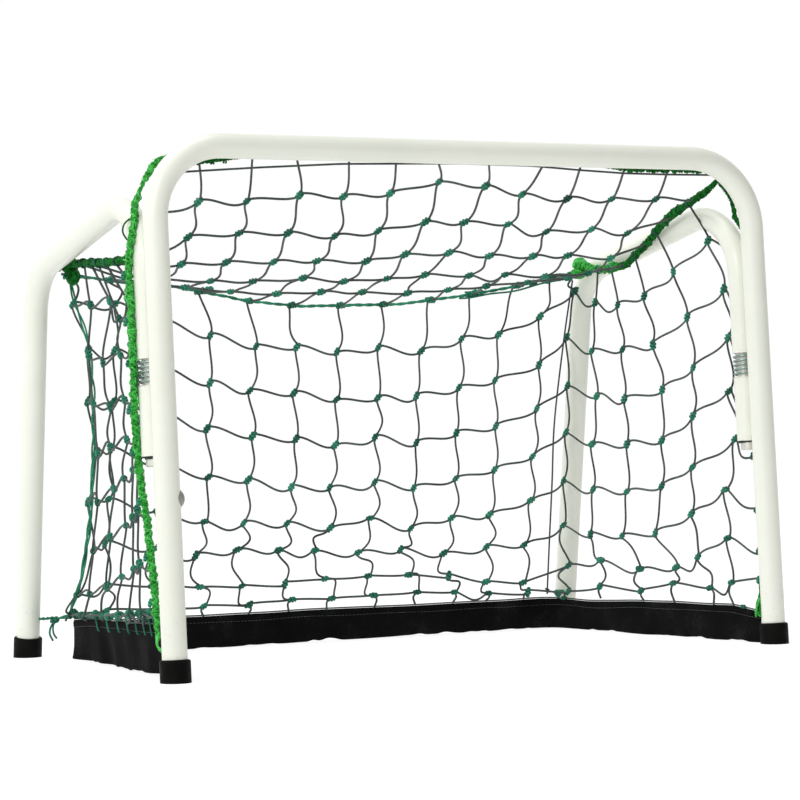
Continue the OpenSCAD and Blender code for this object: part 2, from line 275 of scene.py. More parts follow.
def ramp(nt, fac, stops):
    r = nt.nodes.new("ShaderNodeValToRGB")
    e = r.color_ramp.elements
    while len(e) < len(stops):
        e.new(0.5)
    for k, (pos, col) in enumerate(stops):
        e[k].position = pos
        e[k].color = (*col, 1)
    nt.links.new(fac, r.inputs["Fac"])
    return r.outputs["Color"]


def grey_ramp(nt, fac, a, b, lo=0.3, hi=0.7):
    return ramp(nt, fac, [(lo, (a, a, a)), (hi, (b, b, b))])


def bump(nt, bsdf, height, strength, distance):
    b = nt.nodes.new("ShaderNodeBump")
    b.inputs["Strength"].default_value = strength
    b.inputs["Distance"].default_value = distance
    nt.links.new(height, b.inputs["Height"])
    nt.links.new(b.outputs["Normal"], bsdf.inputs["Normal"])
    return b


def paint_material():
    """Satin powder coat: warm white with fine orange peel, faint soiling and scuffs low down."""
    m, nt, bsdf = new_material("frame_paint")
    vec = coords(nt)
    broad = noise(nt, vec, 9.0, 4.0)
    base = ramp(nt, broad, [(0.32, (0.775, 0.795, 0.700)), (0.68, (0.825, 0.842, 0.752))])
    sep = nt.nodes.new("ShaderNodeSeparateXYZ")
    nt.links.new(vec, sep.inputs[0])
    low = node(nt, "ShaderNodeMapRange")
    low.inputs["From Min"].default_value = 0.0
    low.inputs["From Max"].default_value = 0.09
    low.inputs["To Min"].default_value = 0.75
    low.inputs["To Max"].default_value = 0.0
    nt.links.new(sep.outputs["Z"], low.inputs["Value"])
    speck = noise(nt, vec, 210.0, 3.0, 0.7)
    sp = grey_ramp(nt, speck, 0.0, 1.0, 0.60, 0.74)
    mul = node(nt, "ShaderNodeMath", operation="MULTIPLY")
    nt.links.new(sp, mul.inputs[0])
    nt.links.new(low.outputs[0], mul.inputs[1])
    mix = node(nt, "ShaderNodeMix", data_type="RGBA")
    nt.links.new(mul.outputs[0], mix.inputs["Factor"])
    nt.links.new(base, mix.inputs["A"])
    mix.inputs["B"].default_value = (0.46, 0.44, 0.37, 1)
    nt.links.new(mix.outputs["Result"], bsdf.inputs["Base Color"])
    rough = grey_ramp(nt, noise(nt, vec, 40.0, 3.0), 0.30, 0.44)
    nt.links.new(rough, bsdf.inputs["Roughness"])
    bsdf.inputs["Coat Weight"].default_value = 0.12
    bsdf.inputs["Coat Roughness"].default_value = 0.2
    bump(nt, bsdf, noise(nt, vec, 900.0, 2.0), 0.09, 0.00025)
    return m


def rubber_material():
    m, nt, bsdf = new_material("rubber_black")
    vec = coords(nt)
    nt.links.new(ramp(nt, noise(nt, vec, 60.0, 4.0, 0.6), [(0.35, (0.0022, 0.0022, 0.0020)), (0.72, (0.0055, 0.0054, 0.0050))]), bsdf.inputs["Base Color"])
    nt.links.new(grey_ramp(nt, noise(nt, vec, 140.0, 3.0), 0.42, 0.66), bsdf.inputs["Roughness"])
    bsdf.inputs["Specular IOR Level"].default_value = 0.06
    bump(nt, bsdf, noise(nt, vec, 520.0, 3.0), 0.25, 0.0003)
    return m


def metal_material(name, dark, light, rough_a, rough_b, metallic=1.0):
    m, nt, bsdf = new_material(name)
    vec = coords(nt)
    nt.links.new(ramp(nt, noise(nt, vec, 120.0, 4.0, 0.65), [(0.3, dark), (0.7, light)]), bsdf.inputs["Base Color"])
    bsdf.inputs["Metallic"].default_value = metallic
    nt.links.new(grey_ramp(nt, noise(nt, vec, 260.0, 3.0), rough_a, rough_b), bsdf.inputs["Roughness"])
    bump(nt, bsdf, noise(nt, vec, 800.0, 2.0), 0.12, 0.0002)
    return m


def plastic_material():
    m, nt, bsdf = new_material("bumper_grey")
    vec = coords(nt)
    nt.links.new(ramp(nt, noise(nt, vec, 70.0, 3.0), [(0.3, (0.21, 0.21, 0.19)), (0.7, (0.30, 0.30, 0.275))]), bsdf.inputs["Base Color"])
    nt.links.new(grey_ramp(nt, noise(nt, vec, 200.0, 2.0), 0.38, 0.55), bsdf.inputs["Roughness"])
    bump(nt, bsdf, noise(nt, vec, 700.0, 2.0), 0.12, 0.0002)
    return m


def twine_material(name, dark, mid, light, lay=6.0, strength=0.6, rough=0.62, spread=55.0, sheen=0.1, gloss=0.25):
    """Twisted fibre twine: slanting lay from the mesh's own run, mottled colour, per strand shade."""
    m, nt, bsdf = new_material(name)
    uv = nt.nodes.new("ShaderNodeUVMap")
    uv.uv_map = "along"
    sep = nt.nodes.new("ShaderNodeSeparateXYZ")
    nt.links.new(uv.outputs[0], sep.inputs[0])
    k = node(nt, "ShaderNodeMath", operation="MULTIPLY")
    nt.links.new(sep.outputs["X"], k.inputs[0])
    k.inputs[1].default_value = lay
    add = node(nt, "ShaderNodeMath", operation="ADD")
    nt.links.new(k.outputs[0], add.inputs[0])
    two = node(nt, "ShaderNodeMath", operation="MULTIPLY")
    nt.links.new(sep.outputs["Y"], two.inputs[0])
    two.inputs[1].default_value = 2.0
    nt.links.new(two.outputs[0], add.inputs[1])
    tau = node(nt, "ShaderNodeMath", operation="MULTIPLY")
    nt.links.new(add.outputs[0], tau.inputs[0])
    tau.inputs[1].default_value = 2 * math.pi
    sin = node(nt, "ShaderNodeMath", operation="SINE")
    nt.links.new(tau.outputs[0], sin.inputs[0])
    vec = coords(nt)
    fibre = noise(nt, vec, 1500.0, 2.0, 0.6)
    mott = noise(nt, vec, spread, 3.0, 0.6)
    at = nt.nodes.new("ShaderNodeAttribute")
    at.attribute_name = "shade"
    f1 = node(nt, "ShaderNodeMath", operation="MULTIPLY_ADD")
    nt.links.new(sin.outputs[0], f1.inputs[0])
    f1.inputs[1].default_value = 0.10
    nt.links.new(mott, f1.inputs[2])
    f2 = node(nt, "ShaderNodeMath", operation="MULTIPLY_ADD")
    nt.links.new(fibre, f2.inputs[0])
    f2.inputs[1].default_value = 0.30
    nt.links.new(f1.outputs[0], f2.inputs[2])
    f3 = node(nt, "ShaderNodeMath", operation="ADD")
    nt.links.new(f2.outputs[0], f3.inputs[0])
    nt.links.new(at.outputs["Fac"], f3.inputs[1])
    nt.links.new(ramp(nt, f3.outputs[0], [(0.40, dark), (0.66, mid), (0.95, light)]), bsdf.inputs["Base Color"])
    bsdf.inputs["Roughness"].default_value = rough
    bsdf.inputs["Specular IOR Level"].default_value = gloss
    bsdf.inputs["Sheen Weight"].default_value = sheen
    bsdf.inputs["Sheen Roughness"].default_value = 0.4
    h = node(nt, "ShaderNodeMath", operation="MULTIPLY_ADD")
    nt.links.new(fibre, h.inputs[0])
    h.inputs[1].default_value = 0.6
    nt.links.new(sin.outputs[0], h.inputs[2])
    bump(nt, bsdf, h.outputs[0], strength, 0.00035)
    return m


def cloth_material():
    """Black woven polyester: fine plain weave, soft pilling, slightly greyed high spots."""
    m, nt, bsdf = new_material("skirt_cloth")
    uv = nt.nodes.new("ShaderNodeUVMap")
    uv.uv_map = "along"
    waves = []
    for axis, sc in (("X", 520.0), ("Y", 520.0)):
        w = nt.nodes.new("ShaderNodeTexWave")
        w.wave_type = "BANDS"
        w.bands_direction = axis
        w.inputs["Scale"].default_value = sc / 20
        w.inputs["Distortion"].default_value = 0.6
        w.inputs["Detail"].default_value = 1.0
        nt.links.new(uv.outputs[0], w.inputs["Vector"])
        waves.append(w.outputs["Fac"])
    mx = node(nt, "ShaderNodeMath", operation="MAXIMUM")
    nt.links.new(waves[0], mx.inputs[0])
    nt.links.new(waves[1], mx.inputs[1])
    vec = coords(nt)
    lint = noise(nt, vec, 420.0, 4.0, 0.7)
    cloud = noise(nt, vec, 28.0, 3.0, 0.6)
    f = node(nt, "ShaderNodeMath", operation="MULTIPLY_ADD")
    nt.links.new(lint, f.inputs[0])
    f.inputs[1].default_value = 0.6
    nt.links.new(cloud, f.inputs[2])
    nt.links.new(ramp(nt, f.outputs[0], [(0.45, (0.0018, 0.0018, 0.0018)), (0.85, (0.0042, 0.0042, 0.0042)), (0.98, (0.010, 0.010, 0.010))]), bsdf.inputs["Base Color"])
    bsdf.inputs["Roughness"].default_value = 0.88
    bsdf.inputs["Specular IOR Level"].default_value = 0.05
    bsdf.inputs["Sheen Weight"].default_value = 0.01
    bsdf.inputs["Sheen Roughness"].default_value = 0.5
    h = node(nt, "ShaderNodeMath", operation="MULTIPLY_ADD")
    nt.links.new(mx.outputs[0], h.inputs[0])
    h.inputs[1].default_value = 0.5
    nt.links.new(lint, h.inputs[2])
    bump(nt, bsdf, h.outputs[0], 0.55, 0.0005)
    return m


def plain_stage(name, value, glow, dim):
    """Lit-through studio paper: white round the goal and behind it, darker towards the front right of the room."""
    m, nt, bsdf = new_material(name)
    vec = coords(nt)
    nt.links.new(ramp(nt, noise(nt, vec, 3.0, 3.0), [(0.3, (value, value, value)), (0.7, (min(1, value + 0.01),) * 3)]), bsdf.inputs["Base Color"])
    dot = node(nt, "ShaderNodeVectorMath", operation="DOT_PRODUCT")
    nt.links.new(vec, dot.inputs[0])
    dot.inputs[1].default_value = (-0.412, 0.911, 0.0)
    far = node(nt, "ShaderNodeMapRange", interpolation_type="SMOOTHSTEP")
    far.inputs["From Min"].default_value = -3.2
    far.inputs["From Max"].default_value = -1.1
    far.inputs["To Min"].default_value = dim
    far.inputs["To Max"].default_value = glow
    nt.links.new(dot.outputs["Value"], far.inputs["Value"])
    nt.links.new(far.outputs[0], bsdf.inputs["Emission Strength"])
    bsdf.inputs["Emission Color"].default_value = (1, 1, 1, 1)
    bsdf.inputs["Roughness"].default_value = 0.9
    bsdf.inputs["Specular IOR Level"].default_value = 0.1
    return m


PAINT = paint_material()
RUBBER = rubber_material()
ZINC = metal_material("zinc_steel", (0.60, 0.60, 0.54), (0.80, 0.80, 0.73), 0.34, 0.55, 0.6)
SPRING = metal_material("spring_steel", (0.20, 0.30, 0.27), (0.42, 0.52, 0.48), 0.25, 0.42)
GREY = plastic_material()
TWINE = twine_material("net_twine", (0.028, 0.038, 0.036), (0.058, 0.076, 0.069), (0.105, 0.136, 0.124), lay=5.0)
KNOT = twine_material("net_knot", (0.003, 0.062, 0.034), (0.010, 0.150, 0.085), (0.040, 0.29, 0.175), lay=5.0)
ROPE = twine_material("net_rope", (0.004, 0.085, 0.040), (0.012, 0.21, 0.105), (0.050, 0.36, 0.20), lay=3.0)
BRIGHT = twine_material("lashing_bright", (0.004, 0.13, 0.008), (0.018, 0.33, 0.028), (0.10, 0.64, 0.12), lay=4.0, spread=230.0)
# lashing_dark: a darker copy of the bright lashing twine; on the side lashings and the right post cord it is painted
# shade over what is the bright cord
DARK = twine_material("lashing_dark", (0.0009, 0.034, 0.004), (0.003, 0.098, 0.011), (0.012, 0.21, 0.028), lay=4.0, spread=230.0, sheen=0.02, gloss=0.08)
CLOTH = cloth_material()
THREAD = twine_material("skirt_thread", (0.03, 0.04, 0.035), (0.06, 0.075, 0.07), (0.11, 0.13, 0.12), lay=8.0)

for n, m in (("frame_paint", PAINT), ("rubber_black", RUBBER), ("zinc_steel", ZINC), ("spring_steel", SPRING), ("bumper_grey", GREY)):
    for part in frame["record"]["subparts"]:
        if part["material_slot"] == n:
            mesh = frame["nodes"][part["node"]].data
            mesh.materials.clear()
            mesh.materials.append(m)

# ---------------------------------------------------------------- camera
cam_data = bpy.data.cameras.new("camera")
cam = bpy.data.objects.new("camera", cam_data)
bpy.context.scene.collection.objects.link(cam)
right, up, back = Vector((0.87628, -0.48136, -0.02055)), Vector((0.01550, -0.01446, 0.99978)), Vector((-0.48155, -0.87640, -0.00521))
rot = Matrix((right, up, back)).transposed().to_4x4()
cam.matrix_world = Matrix.Translation((-1.3915, -2.3716 + YM / 1000, 0.2226)) @ rot
cam_data.sensor_width = 36.0
cam_data.lens = 3059.8 / 800 * 36.0
cam_data.clip_start, cam_data.clip_end = 0.05, 60.0
bpy.context.scene.camera = cam

# ---------------------------------------------------------------- where the net's knots hang
# Columns 0..12 run from the left seam to the right one, over the roof and down the back.
ROPE_X = [-283, -236, -187, -140, -88, -42, 12, 60, 114, 162, 213, 254, 281]
REAR_X = np.array([-275, -166, -88, -33, 79, 148, 195, 285])
REAR_Z = np.array([360, 351, 337, 332, 334, 342, 349, 366])
ROPE_SHIFT = 3.0


def rope_z(x):
    return np.interp(x, REAR_X, REAR_Z)


def rope_y(x):
    return 300 - 12 * (np.abs(x) / 283.0) ** 6


def bar_z(x):
    """Height of the cord behind the crossbar: it sags a little at its ends and hides behind the tube in the middle."""
    return np.interp(x, [-286, -271, -236, -200, -120, 0, 80, 131, 181, 226, 286], [437.5, 438.5, 441.1, 443.7, 448.5, 451.5, 451, 448.2, 446.2, 446.0, 446.6])


def back_y(z):
    return np.interp(z, [30, 60, 130, 230, 300, 360], [339, 335, 324, 309, 301, 296])


BAR_X = [-284, -260, -208, -164, -112, -64, -20, 33, 91, 132, 181, 230, 282]
ROOF_X = [[-309, -240, -194, -142, -95, -46, 3, 53, 95, 144, 191, 243, 290],
          [-315, -232, -183, -132, -82, -38, 11, 55, 104, 144, 195, 239, 290],
          [-308, -221, -176, -125, -80, -30, 13, 63, 106, 153, 195, 246, 290],
          [-301, -223, -171, -126, -75, -32, 17, 59, 106, 147, 196, 245, 290],
          [-292, -227, -176, -130, -83, -34, 13, 61, 106, 152, 201, 246, 287]]
ROOF_Z = [[398, 416, 417, 423, 423, 427, 438, 435, 428, 425, 425, 426, 426],
          [363, 387, 391, 392, 390, 395, 404, 404, 403, 396, 399, 396, 412],
          [364, 365, 367, 368, 369, 369, 376, 378, 375, 375, 376, 374, 390],
          [365, 353, 352, 352, 355, 352, 355, 359, 358, 359, 358, 361, 371],
          [368, 353, 348, 344, 342, 344, 344, 343, 346, 350, 354, 358, 368]]
ROOF_Y0 = [66, 92, 140, 185, 235]
ROOF_Y12 = [88, 127, 170, 208, 243]
BACK_Z = [[334, 334, 318, 304, 293, 292, 287, 291, 287, 299, 303, 321, 347],
          [291, 290, 273, 258, 250, 247, 240, 241, 242, 250, 257, 272, 300],
          [242, 242, 228, 214, 206, 202, 195, 202, 195, 204, 210, 227, 250],
          [195, 197, 182, 167, 163, 155, 153, 157, 150, 158, 166, 178, 202],
          [148, 149, 136, 124, 121, 119, 113, 121, 109, 118, 120, 133, 152],
          [103, 107, 99, 91, 95, 93, 91, 87, 88, 82, 87, 87, 106],
          [60, 67, 64, 60, 59, 59, 62, 63, 62, 59, 51, 48, 65],
          [40, 42, 42, 41, 40, 43, 42, 43, 44, 42, 39, 38, 38]]
BACK_X = [-278, -232, -180, -129, -83, -36, 8, 56, 102, 149, 193, 240, 280]
BACK_DX = [0, -1, 1, 0, -2, -11, -1, 8]
SEAM_L = [(-274, 296), (-266, 281), (-266, 284), (-262, 275), (-267, 286), (-264, 282), (-270, 310), (-272, 322)]
SEAM_R = [(282, 296), (280, 311), (280, 311), (280, 316), (279, 321), (279, 323), (280, 316), (280, 318)]
# Side nets: columns 1..5 from the rear seam to the front, then the post lashing
SIDE_R_Y = [[261, 225, 181, 138, 89], [265, 216, 167, 119, 71], [263, 210, 156, 110, 66], [265, 208, 157, 111, 66],
            [267, 213, 157, 109, 65], [270, 214, 168, 119, 73], [257, 194, 143, 111, 72], [263, 197, 150, 98, 70]]
SIDE_R_Z = [[334, 330, 337, 359, 387], [285, 285, 288, 314, 339], [239, 235, 243, 264, 292], [190, 190, 193, 217, 240],
            [144, 142, 148, 167, 193], [98, 98, 101, 121, 145], [72, 65, 68, 79, 98], [45, 43, 52, 49, 55]]
SIDE_L_Y = [[220, 160, 136, 104, 72], [230, 186, 142, 104, 70], [226, 180, 136, 100, 66], [222, 176, 134, 98, 66],
            [228, 180, 137, 99, 66], [230, 186, 140, 100, 66], [246, 196, 146, 104, 68], [262, 206, 150, 106, 66]]
SIDE_L_Z = [[330, 331, 314, 330, 340], [284, 276, 282, 290, 300], [239, 236, 242, 250, 262], [193, 200, 206, 214, 224],
            [149, 162, 172, 180, 188], [104, 118, 130, 138, 145], [64, 72, 84, 93, 99], [44, 46, 49, 53, 56]]
TOP_R = [(286, 258, 365), (288.5, 236, 364.5), (290, 194, 375), (290, 155, 397.5), (290, 96, 421)]
TOP_L = [(-293, 222, 364.5), (-299, 190, 363.3), (-304, 162, 361.8), (-309, 132, 360.3), (-315, 97, 359.3)]

LASH_R = [(283, 290.6, 376.8), (283.7, 284, 374.4), (285, 271, 370.1), (286, 260, 368), (287, 248, 367.2), (288.2, 234, 367.7), (289, 221, 368.6),
          (289.5, 209, 370.9), (290, 195, 377.7), (290, 182, 384.4), (290, 169, 391), (290, 152, 402), (290, 128, 414), (290, 102, 422),
          (289.5, 83, 427.6), (289.2, 70, 431.5), (289.2, 60, 435.5), (290.2, 49, 441.5)]
LASH_L = [(-282, 288, 369.5), (-285, 273, 371), (-290, 245, 369.3), (-295, 216, 368.2), (-304.4, 164.5, 365.6), (-309.3, 135, 364.3), (-313, 111, 363.6),
          (-316.3, 88, 363.1), (-318, 75.5, 363.2), (-321.5, 60, 365), (-324, 50, 367)]
POST_L = [(-286.5, 45, 453), (-297.5, 50, 446.5), (-307.0, 56, 429), (-312, 57.5, 416.8), (-315.3, 56.5, 407), (-319, 51, 391), (-323, 48, 378), (-325, 48.5, 364),
          (-325.4, 49, 347), (-325.3, 47, 329), (-325.2, 45.5, 300), (-325, 43.4, 249.5), (-325, 42.9, 220), (-321, 42, 170), (-317.6, 39, 137.5),
          (-315.5, 33.7, 94.6), (-315.8, 28.5, 69), (-317, 22, 35.5)]
POST_R = [(290, 48, 442.5), (305, 49, 426.4), (311, 49, 406), (321, 46, 389), (326, 46.3, 378), (327, 49, 366), (327, 49, 347), (327, 47, 329),
          (327, 45.5, 300), (327, 43.4, 249.5), (327, 42.9, 220), (325, 42, 170), (324, 38, 137.5), (322, 33, 94.6), (319, 27, 69), (312, 21, 46),
          (308, 18.5, 33)]


def side_x(y, side):
    return side * np.interp(y, [48, 62, 75, 120, 200, 280, 335], [322, 315, 311, 303, 292, 283, 278])


def on_line(line, z):
    """The point of a falling line at height z."""
    c = curve(line, 2.0)
    k = np.argmin(np.abs(c[:, 2] - z))
    return c[k]


rng = np.random.default_rng(7)
roof = np.zeros((7, 13, 3))
for i, x in enumerate(BAR_X):
    roof[0, i] = (x, 42.5, 451.5 if 0 < i < 12 else 446)
for j in range(5):
    for i in range(13):
        y = 43 + 42 * (j + 1)
        if i == 0:
            y = ROOF_Y0[j]
        elif i == 12:
            y = ROOF_Y12[j]
        else:
            y += 3 * math.sin(1.7 * i + j)
        roof[j + 1, i] = (ROOF_X[j][i], y, ROOF_Z[j][i])
for i, x in enumerate(ROPE_X):
    roof[6, i] = (x, rope_y(x), rope_z(x))
backnet = np.zeros((9, 13, 3))
backnet[0] = roof[6]
for i in range(13):
    backnet[0, i, 0] -= ROPE_SHIFT
for j in range(8):
    for i in range(13):
        z = BACK_Z[j][i]
        x = BACK_X[i] + BACK_DX[j] * math.sin(math.pi * i / 12)
        y = back_y(z) + rng.normal(0, 1.5)
        if i == 0:
            x, y = SEAM_L[j]
        elif i == 1:
            y -= 5
        elif i == 12:
            x, y = SEAM_R[j]
        else:
            x += rng.normal(0, 1.6)
        backnet[j + 1, i] = (x, y, z)


def side_net(side):
    ys, zs, top, seam, post = (SIDE_R_Y, SIDE_R_Z, TOP_R, backnet[:, 12], POST_R) if side > 0 else (SIDE_L_Y, SIDE_L_Z, TOP_L, backnet[:, 0], POST_L)
    k = np.zeros((9, 7, 3))
    k[:, 0] = seam
    for s in range(5):
        k[0, s + 1] = top[s]
    k[0, 6] = on_line(post, 412 if side > 0 else 382)
    for j in range(8):
        for s in range(5):
            y = ys[j][s]
            inward = 7 * math.sin(math.pi * (s + 1) / 6) * math.sin(math.pi * (j + 1) / 9)
            k[j + 1, s + 1] = (side_x(y, side) - side * inward + rng.normal(0, 1.5), y, zs[j][s])
        z6 = [368, 322, 272, 224, 176, 128, 84, 60] if side > 0 else [350, 310, 272, 234, 198, 154, 106, 64]
        k[j + 1, 6] = on_line(post, z6[j]) - np.array([side * 1.5, -2.0, 0])
    # one knot of the fifth row is tied to the swivel just under its sleeve
    k[5, 5] = (302.7, 46.5, 194.0) if side > 0 else (-320.6, 47, 192.0)
    return k


sidenet = {-1: side_net(-1), 1: side_net(1)}

# ---------------------------------------------------------------- twine and knots
BAR = 47.0      # length of twine between two knots
TW = 1.12       # radius of the net's twine
KL = 3.1        # half length of a knot


def directions(K, j, i):
    rows, cols = K.shape[:2]
    r = K[j, min(i + 1, cols - 1)] - K[j, max(i - 1, 0)]
    u = K[max(j - 1, 0), i] - K[min(j + 1, rows - 1), i]
    return unit(r), unit(u)


def make_net(parts, K, v_cols, h_rows, h_cols, knot_rows, knot_cols, rng, flip=1, taut=(), flat_rows=(), low_rows=()):
    """Twine and knots of one grid of knots. flip turns the knots' slant to the other side.
    taut: rows whose upright strands run straight; flat_rows: rows whose level strands do; low_rows: rows near the ground."""
    rows, cols = K.shape[:2]
    axis = {}
    for j in range(rows):
        for i in range(cols):
            r, u = directions(K, j, i)
            r = r * flip
            if j in low_rows:
                slant = rng.choice([8, 24, 52], p=[0.5, 0.3, 0.2]) + rng.normal(0, 5)
            elif j + 1 in low_rows or j + 2 in low_rows:
                slant = rng.choice([14, 34, 58], p=[0.3, 0.3, 0.4]) + rng.normal(0, 6)
            else:
                slant = 56 + rng.normal(0, 9)
            a = math.radians(slant)
            axis[j, i] = (unit(r * math.cos(a) + u * math.sin(a)), r, u)
    is_knot = {(j, i) for j in knot_rows for i in knot_cols}

    for i in v_cols:
        for j in range(rows - 1):
            ax0, r0, u0 = axis[j, i]
            ax1, r1, u1 = axis[j + 1, i]
            a = K[j, i] - ax0 * KL * (0.8 if (j, i) in is_knot else 0.0)
            b = K[j + 1, i] + ax1 * KL * (0.8 if (j + 1, i) in is_knot else 0.0)
            gap = np.linalg.norm(b - a)
            d = (b - a) / gap
            if j in taut:
                k = rng.uniform(0.3, 0.8)
                line = hermite(a, b, (d + r0 * 0.05 * k) * gap, (d - r1 * 0.30 * k) * gap, 13)
            elif gap < 41:
                near = j >= rows - 3
                side = 1 if rng.random() < (0.55 if near else 0.92) else -1
                lean = rng.uniform(-0.65, 0.35) if near else rng.uniform(-0.4, -0.1)
                line = wave(a, b, r0 * side + 0 * r1, min(0.55 * gap + 19.8, gap * 1.45) * rng.uniform(0.97, 1.0), lean)
            else:
                k = rng.uniform(0.55, 1.25)
                line = hermite(a, b, (d - r0 * rng.uniform(-0.05, 0.30) * k) * gap, (d * 0.9 - r1 * rng.uniform(0.35, 0.85) * k) * gap, 13)
            tube(parts, line, TW, 6, 0, rng.normal(0, 0.05), u0=rng.uniform(0, 50))
    for j in h_rows:
        for i in h_cols:
            ax0, r0, u0 = axis[j, i]
            ax1, r1, u1 = axis[j, i + 1]
            a = K[j, i] + ax0 * flip * KL * (0.8 if (j, i) in is_knot else 0.0)
            b = K[j, i + 1] - ax1 * flip * KL * (0.8 if (j, i + 1) in is_knot else 0.0)
            if flip < 0:
                u0, u1 = -u0, -u1
            gap = np.linalg.norm(b - a)
            d = (b - a) / gap
            k = rng.uniform(0.6, 1.3)
            if gap < 39:
                line = wave(a, b, -np.abs(u0[2]) * np.array([0, 0, 1.0]), min(0.55 * gap + 19.8, gap * 1.32), -0.2)
            elif j in flat_rows:
                line = hermite(a, b, (d + u0 * rng.uniform(-0.08, 0.10)) * gap, (d + u1 * rng.uniform(-0.05, 0.12)) * gap, 13)
            else:
                line = hermite(a, b, (d + u0 * rng.uniform(0.1, 0.42) * k) * gap, (d * 0.9 + u1 * rng.uniform(0.35, 0.8) * k) * gap, 13)
            tube(parts, line, TW, 6, 0, rng.normal(0, 0.05), u0=rng.uniform(0, 50))
    for j in knot_rows:
        for i in knot_cols:
            knot(parts, K[j, i], axis[j, i][0], rng, 1.0)


def knot(parts, at, axis, rng, size=1.0, mat=1):
    """A tied knot: twine laid two and a half times round itself."""
    size = size * rng.uniform(1.12, 1.42)
    turns = 2.6
    s = np.linspace(-1, 1, 25)
    helper = np.array([0, 0, 1.0]) if abs(axis[2]) < 0.8 else np.array([1.0, 0, 0])
    n = unit(np.cross(axis, helper))
    b = np.cross(axis, n)
    th = s * math.pi * turns + rng.uniform(0, 6.28)
    rad = 1.55 * size * np.sqrt(np.clip(1 - (s * 0.82) ** 2, 0.1, 1))
    line = at + np.outer(s * 3.0 * size, axis) + np.outer(np.cos(th) * rad, n) + np.outer(np.sin(th) * rad, b)
    tube(parts, line, 1.12 * size, 6, mat, rng.normal(0.03, 0.07))
    # painted shade: the core under the wraps is made a little darker (-0.05) than the wraps
    tube(parts, np.array([at - axis * 3.6 * size, at, at + axis * 3.6 * size]), np.array([0.9, 1.7, 0.9]) * size, 6, mat, -0.05)


def hitch(parts, at, along, radius, rng, width=5.0, strand=1.0, mat=1, shade=0.0):
    """Twine wrapped a few turns round a rope at one place."""
    along = unit(along)
    helper = np.array([0, 0, 1.0]) if abs(along[2]) < 0.8 else np.array([1.0, 0, 0])
    n = unit(np.cross(along, helper))
    b = np.cross(along, n)
    turns = max(1.6, width / (strand * 2.1))
    s = np.linspace(-0.5, 0.5, int(turns * 10) + 2)
    th = s * 2 * math.pi * turns + rng.uniform(0, 6.28)
    wob = 1 + 0.12 * np.sin(3.1 * th + rng.uniform(0, 6))
    line = at + np.outer(s * width, along) + np.outer(np.cos(th) * radius * wob, n) + np.outer(np.sin(th) * radius * wob, b)
    tube(parts, line, strand * rng.uniform(0.9, 1.1), 6, mat, shade + rng.normal(0, 0.06))


LEFT, RIGHT = range(0, 7), range(6, 13)
pieces = []


def net_pieces():
    rng = np.random.default_rng(11)
    for side, name, cols in ((-1, "left", range(0, 7)), (1, "right", range(6, 13))):
        lo, hi = cols[0], cols[-1]
        ks = [i for i in cols if 0 < i < 12 and (i != 6 or side < 0)]
        p = Parts()
        make_net(p, roof, ks, range(1, 6), range(lo, hi), range(1, 6), ks, rng, taut=(0,))
        ob = p.make("net_roof_" + name, [TWINE, KNOT])
        pieces.append((ob, side, ["net_top"], "net_twine"))
        p = Parts()
        ks = [i for i in cols if i != 6 or side < 0]
        make_net(p, backnet, ks, range(1, 9), range(lo, hi), range(1, 9), ks, rng, flat_rows=(7, 8), low_rows=(7, 8))
        # short ends from the lowest knots to the skirt
        for i in ks:
            a = backnet[8, i]
            b = np.array([a[0] + rng.normal(-1.5, 2.5), 338.4 if 0 < i < 12 else a[1] + 4, 31.0 if i else 35.0])
            tube(p, wave(a, b, np.array([rng.choice([-1.0, 1.0]), 0, 0]), 1.16 * np.linalg.norm(b - a), 0.2, 9), TW, 6, 0, 0)
        ob = p.make("net_rear_" + name, [TWINE, KNOT])
        pieces.append((ob, side, ["net_back"], "net_twine"))
        p = Parts()
        K = sidenet[side]
        make_net(p, K, range(1, 6), range(1, 9), range(0, 6), range(1, 9), range(1, 6), rng, flip=1 if side > 0 else -1, taut=(0,), flat_rows=(8,), low_rows=(7, 8))
        for n in range(1, 6):
            a = K[8, n]
            top = 33.0 if side > 0 else float(np.interp(a[1], [75, 230, 336], [45, 41, 35]))
            b = np.array([side_x(a[1], side) - side * 1.0, a[1] + rng.normal(0, 3), top])
            tube(p, wave(a, b, np.array([0, rng.choice([-1.0, 1.0]), 0]), 1.15 * np.linalg.norm(b - a), 0.2, 9), TW, 6, 0, 0)
        # hitches where the side net hangs from its lashings
        c = curve(LASH_R if side > 0 else LASH_L, 4.0)
        for n in range(1, 6):
            k = np.argmin(np.linalg.norm(c - K[0, n], axis=1))
            hitch(p, c[k], c[min(k + 1, len(c) - 1)] - c[max(k - 1, 0)], 3.9, rng, 2.6, 0.9, 1, -0.2)
        # knots where it is tied beside the cords down the posts
        c = curve(POST_R if side > 0 else POST_L, 4.0)
        for j in range(1, 9):
            k = np.argmin(np.linalg.norm(c - K[j, 6], axis=1))
            out = np.array([-3.4 if side < 0 else -3.0, 2.6, 0])
            knot(p, c[k] + out, unit(np.array([0.35, 0.2, 1.0])), rng, 0.85, 1)
        # the net's tie on the swivel, just under the sleeve: a thin ring of the darkest twine (shade -0.35), which is a
        # painted shadow line at the sleeve's lower end; the tie running to it is darkened too
        ring = np.array([side * 311, 35.4, 190.9])
        lean = np.array([0, math.sin(LEAN), math.cos(LEAN)])
        hitch(p, ring, lean, 8.5, rng, 1.6, 0.75, 0, -0.35)
        at = K[5, 5]
        tube(p, curve([at, at * 0.5 + (ring + np.array([-8.6, 0, 0.6])) * 0.5, ring + np.array([-8.4, -1.5, 0.4])], 1.5), 0.9, 6, 0, -0.3)
        ob = p.make("net_side_" + name, [TWINE, KNOT])
        pieces.append((ob, side, ["net_" + name], "net_twine"))


net_pieces()

# ---------------------------------------------------------------- ropes
def half(line, side):
    """The half of a line that runs across the goal: left of the middle or right of it."""
    mid = 8.0
    line = np.asarray(line, float)
    keep = line[line[:, 0] <= mid + 1.0] if side < 0 else line[line[:, 0] >= mid - 1.0]
    return keep


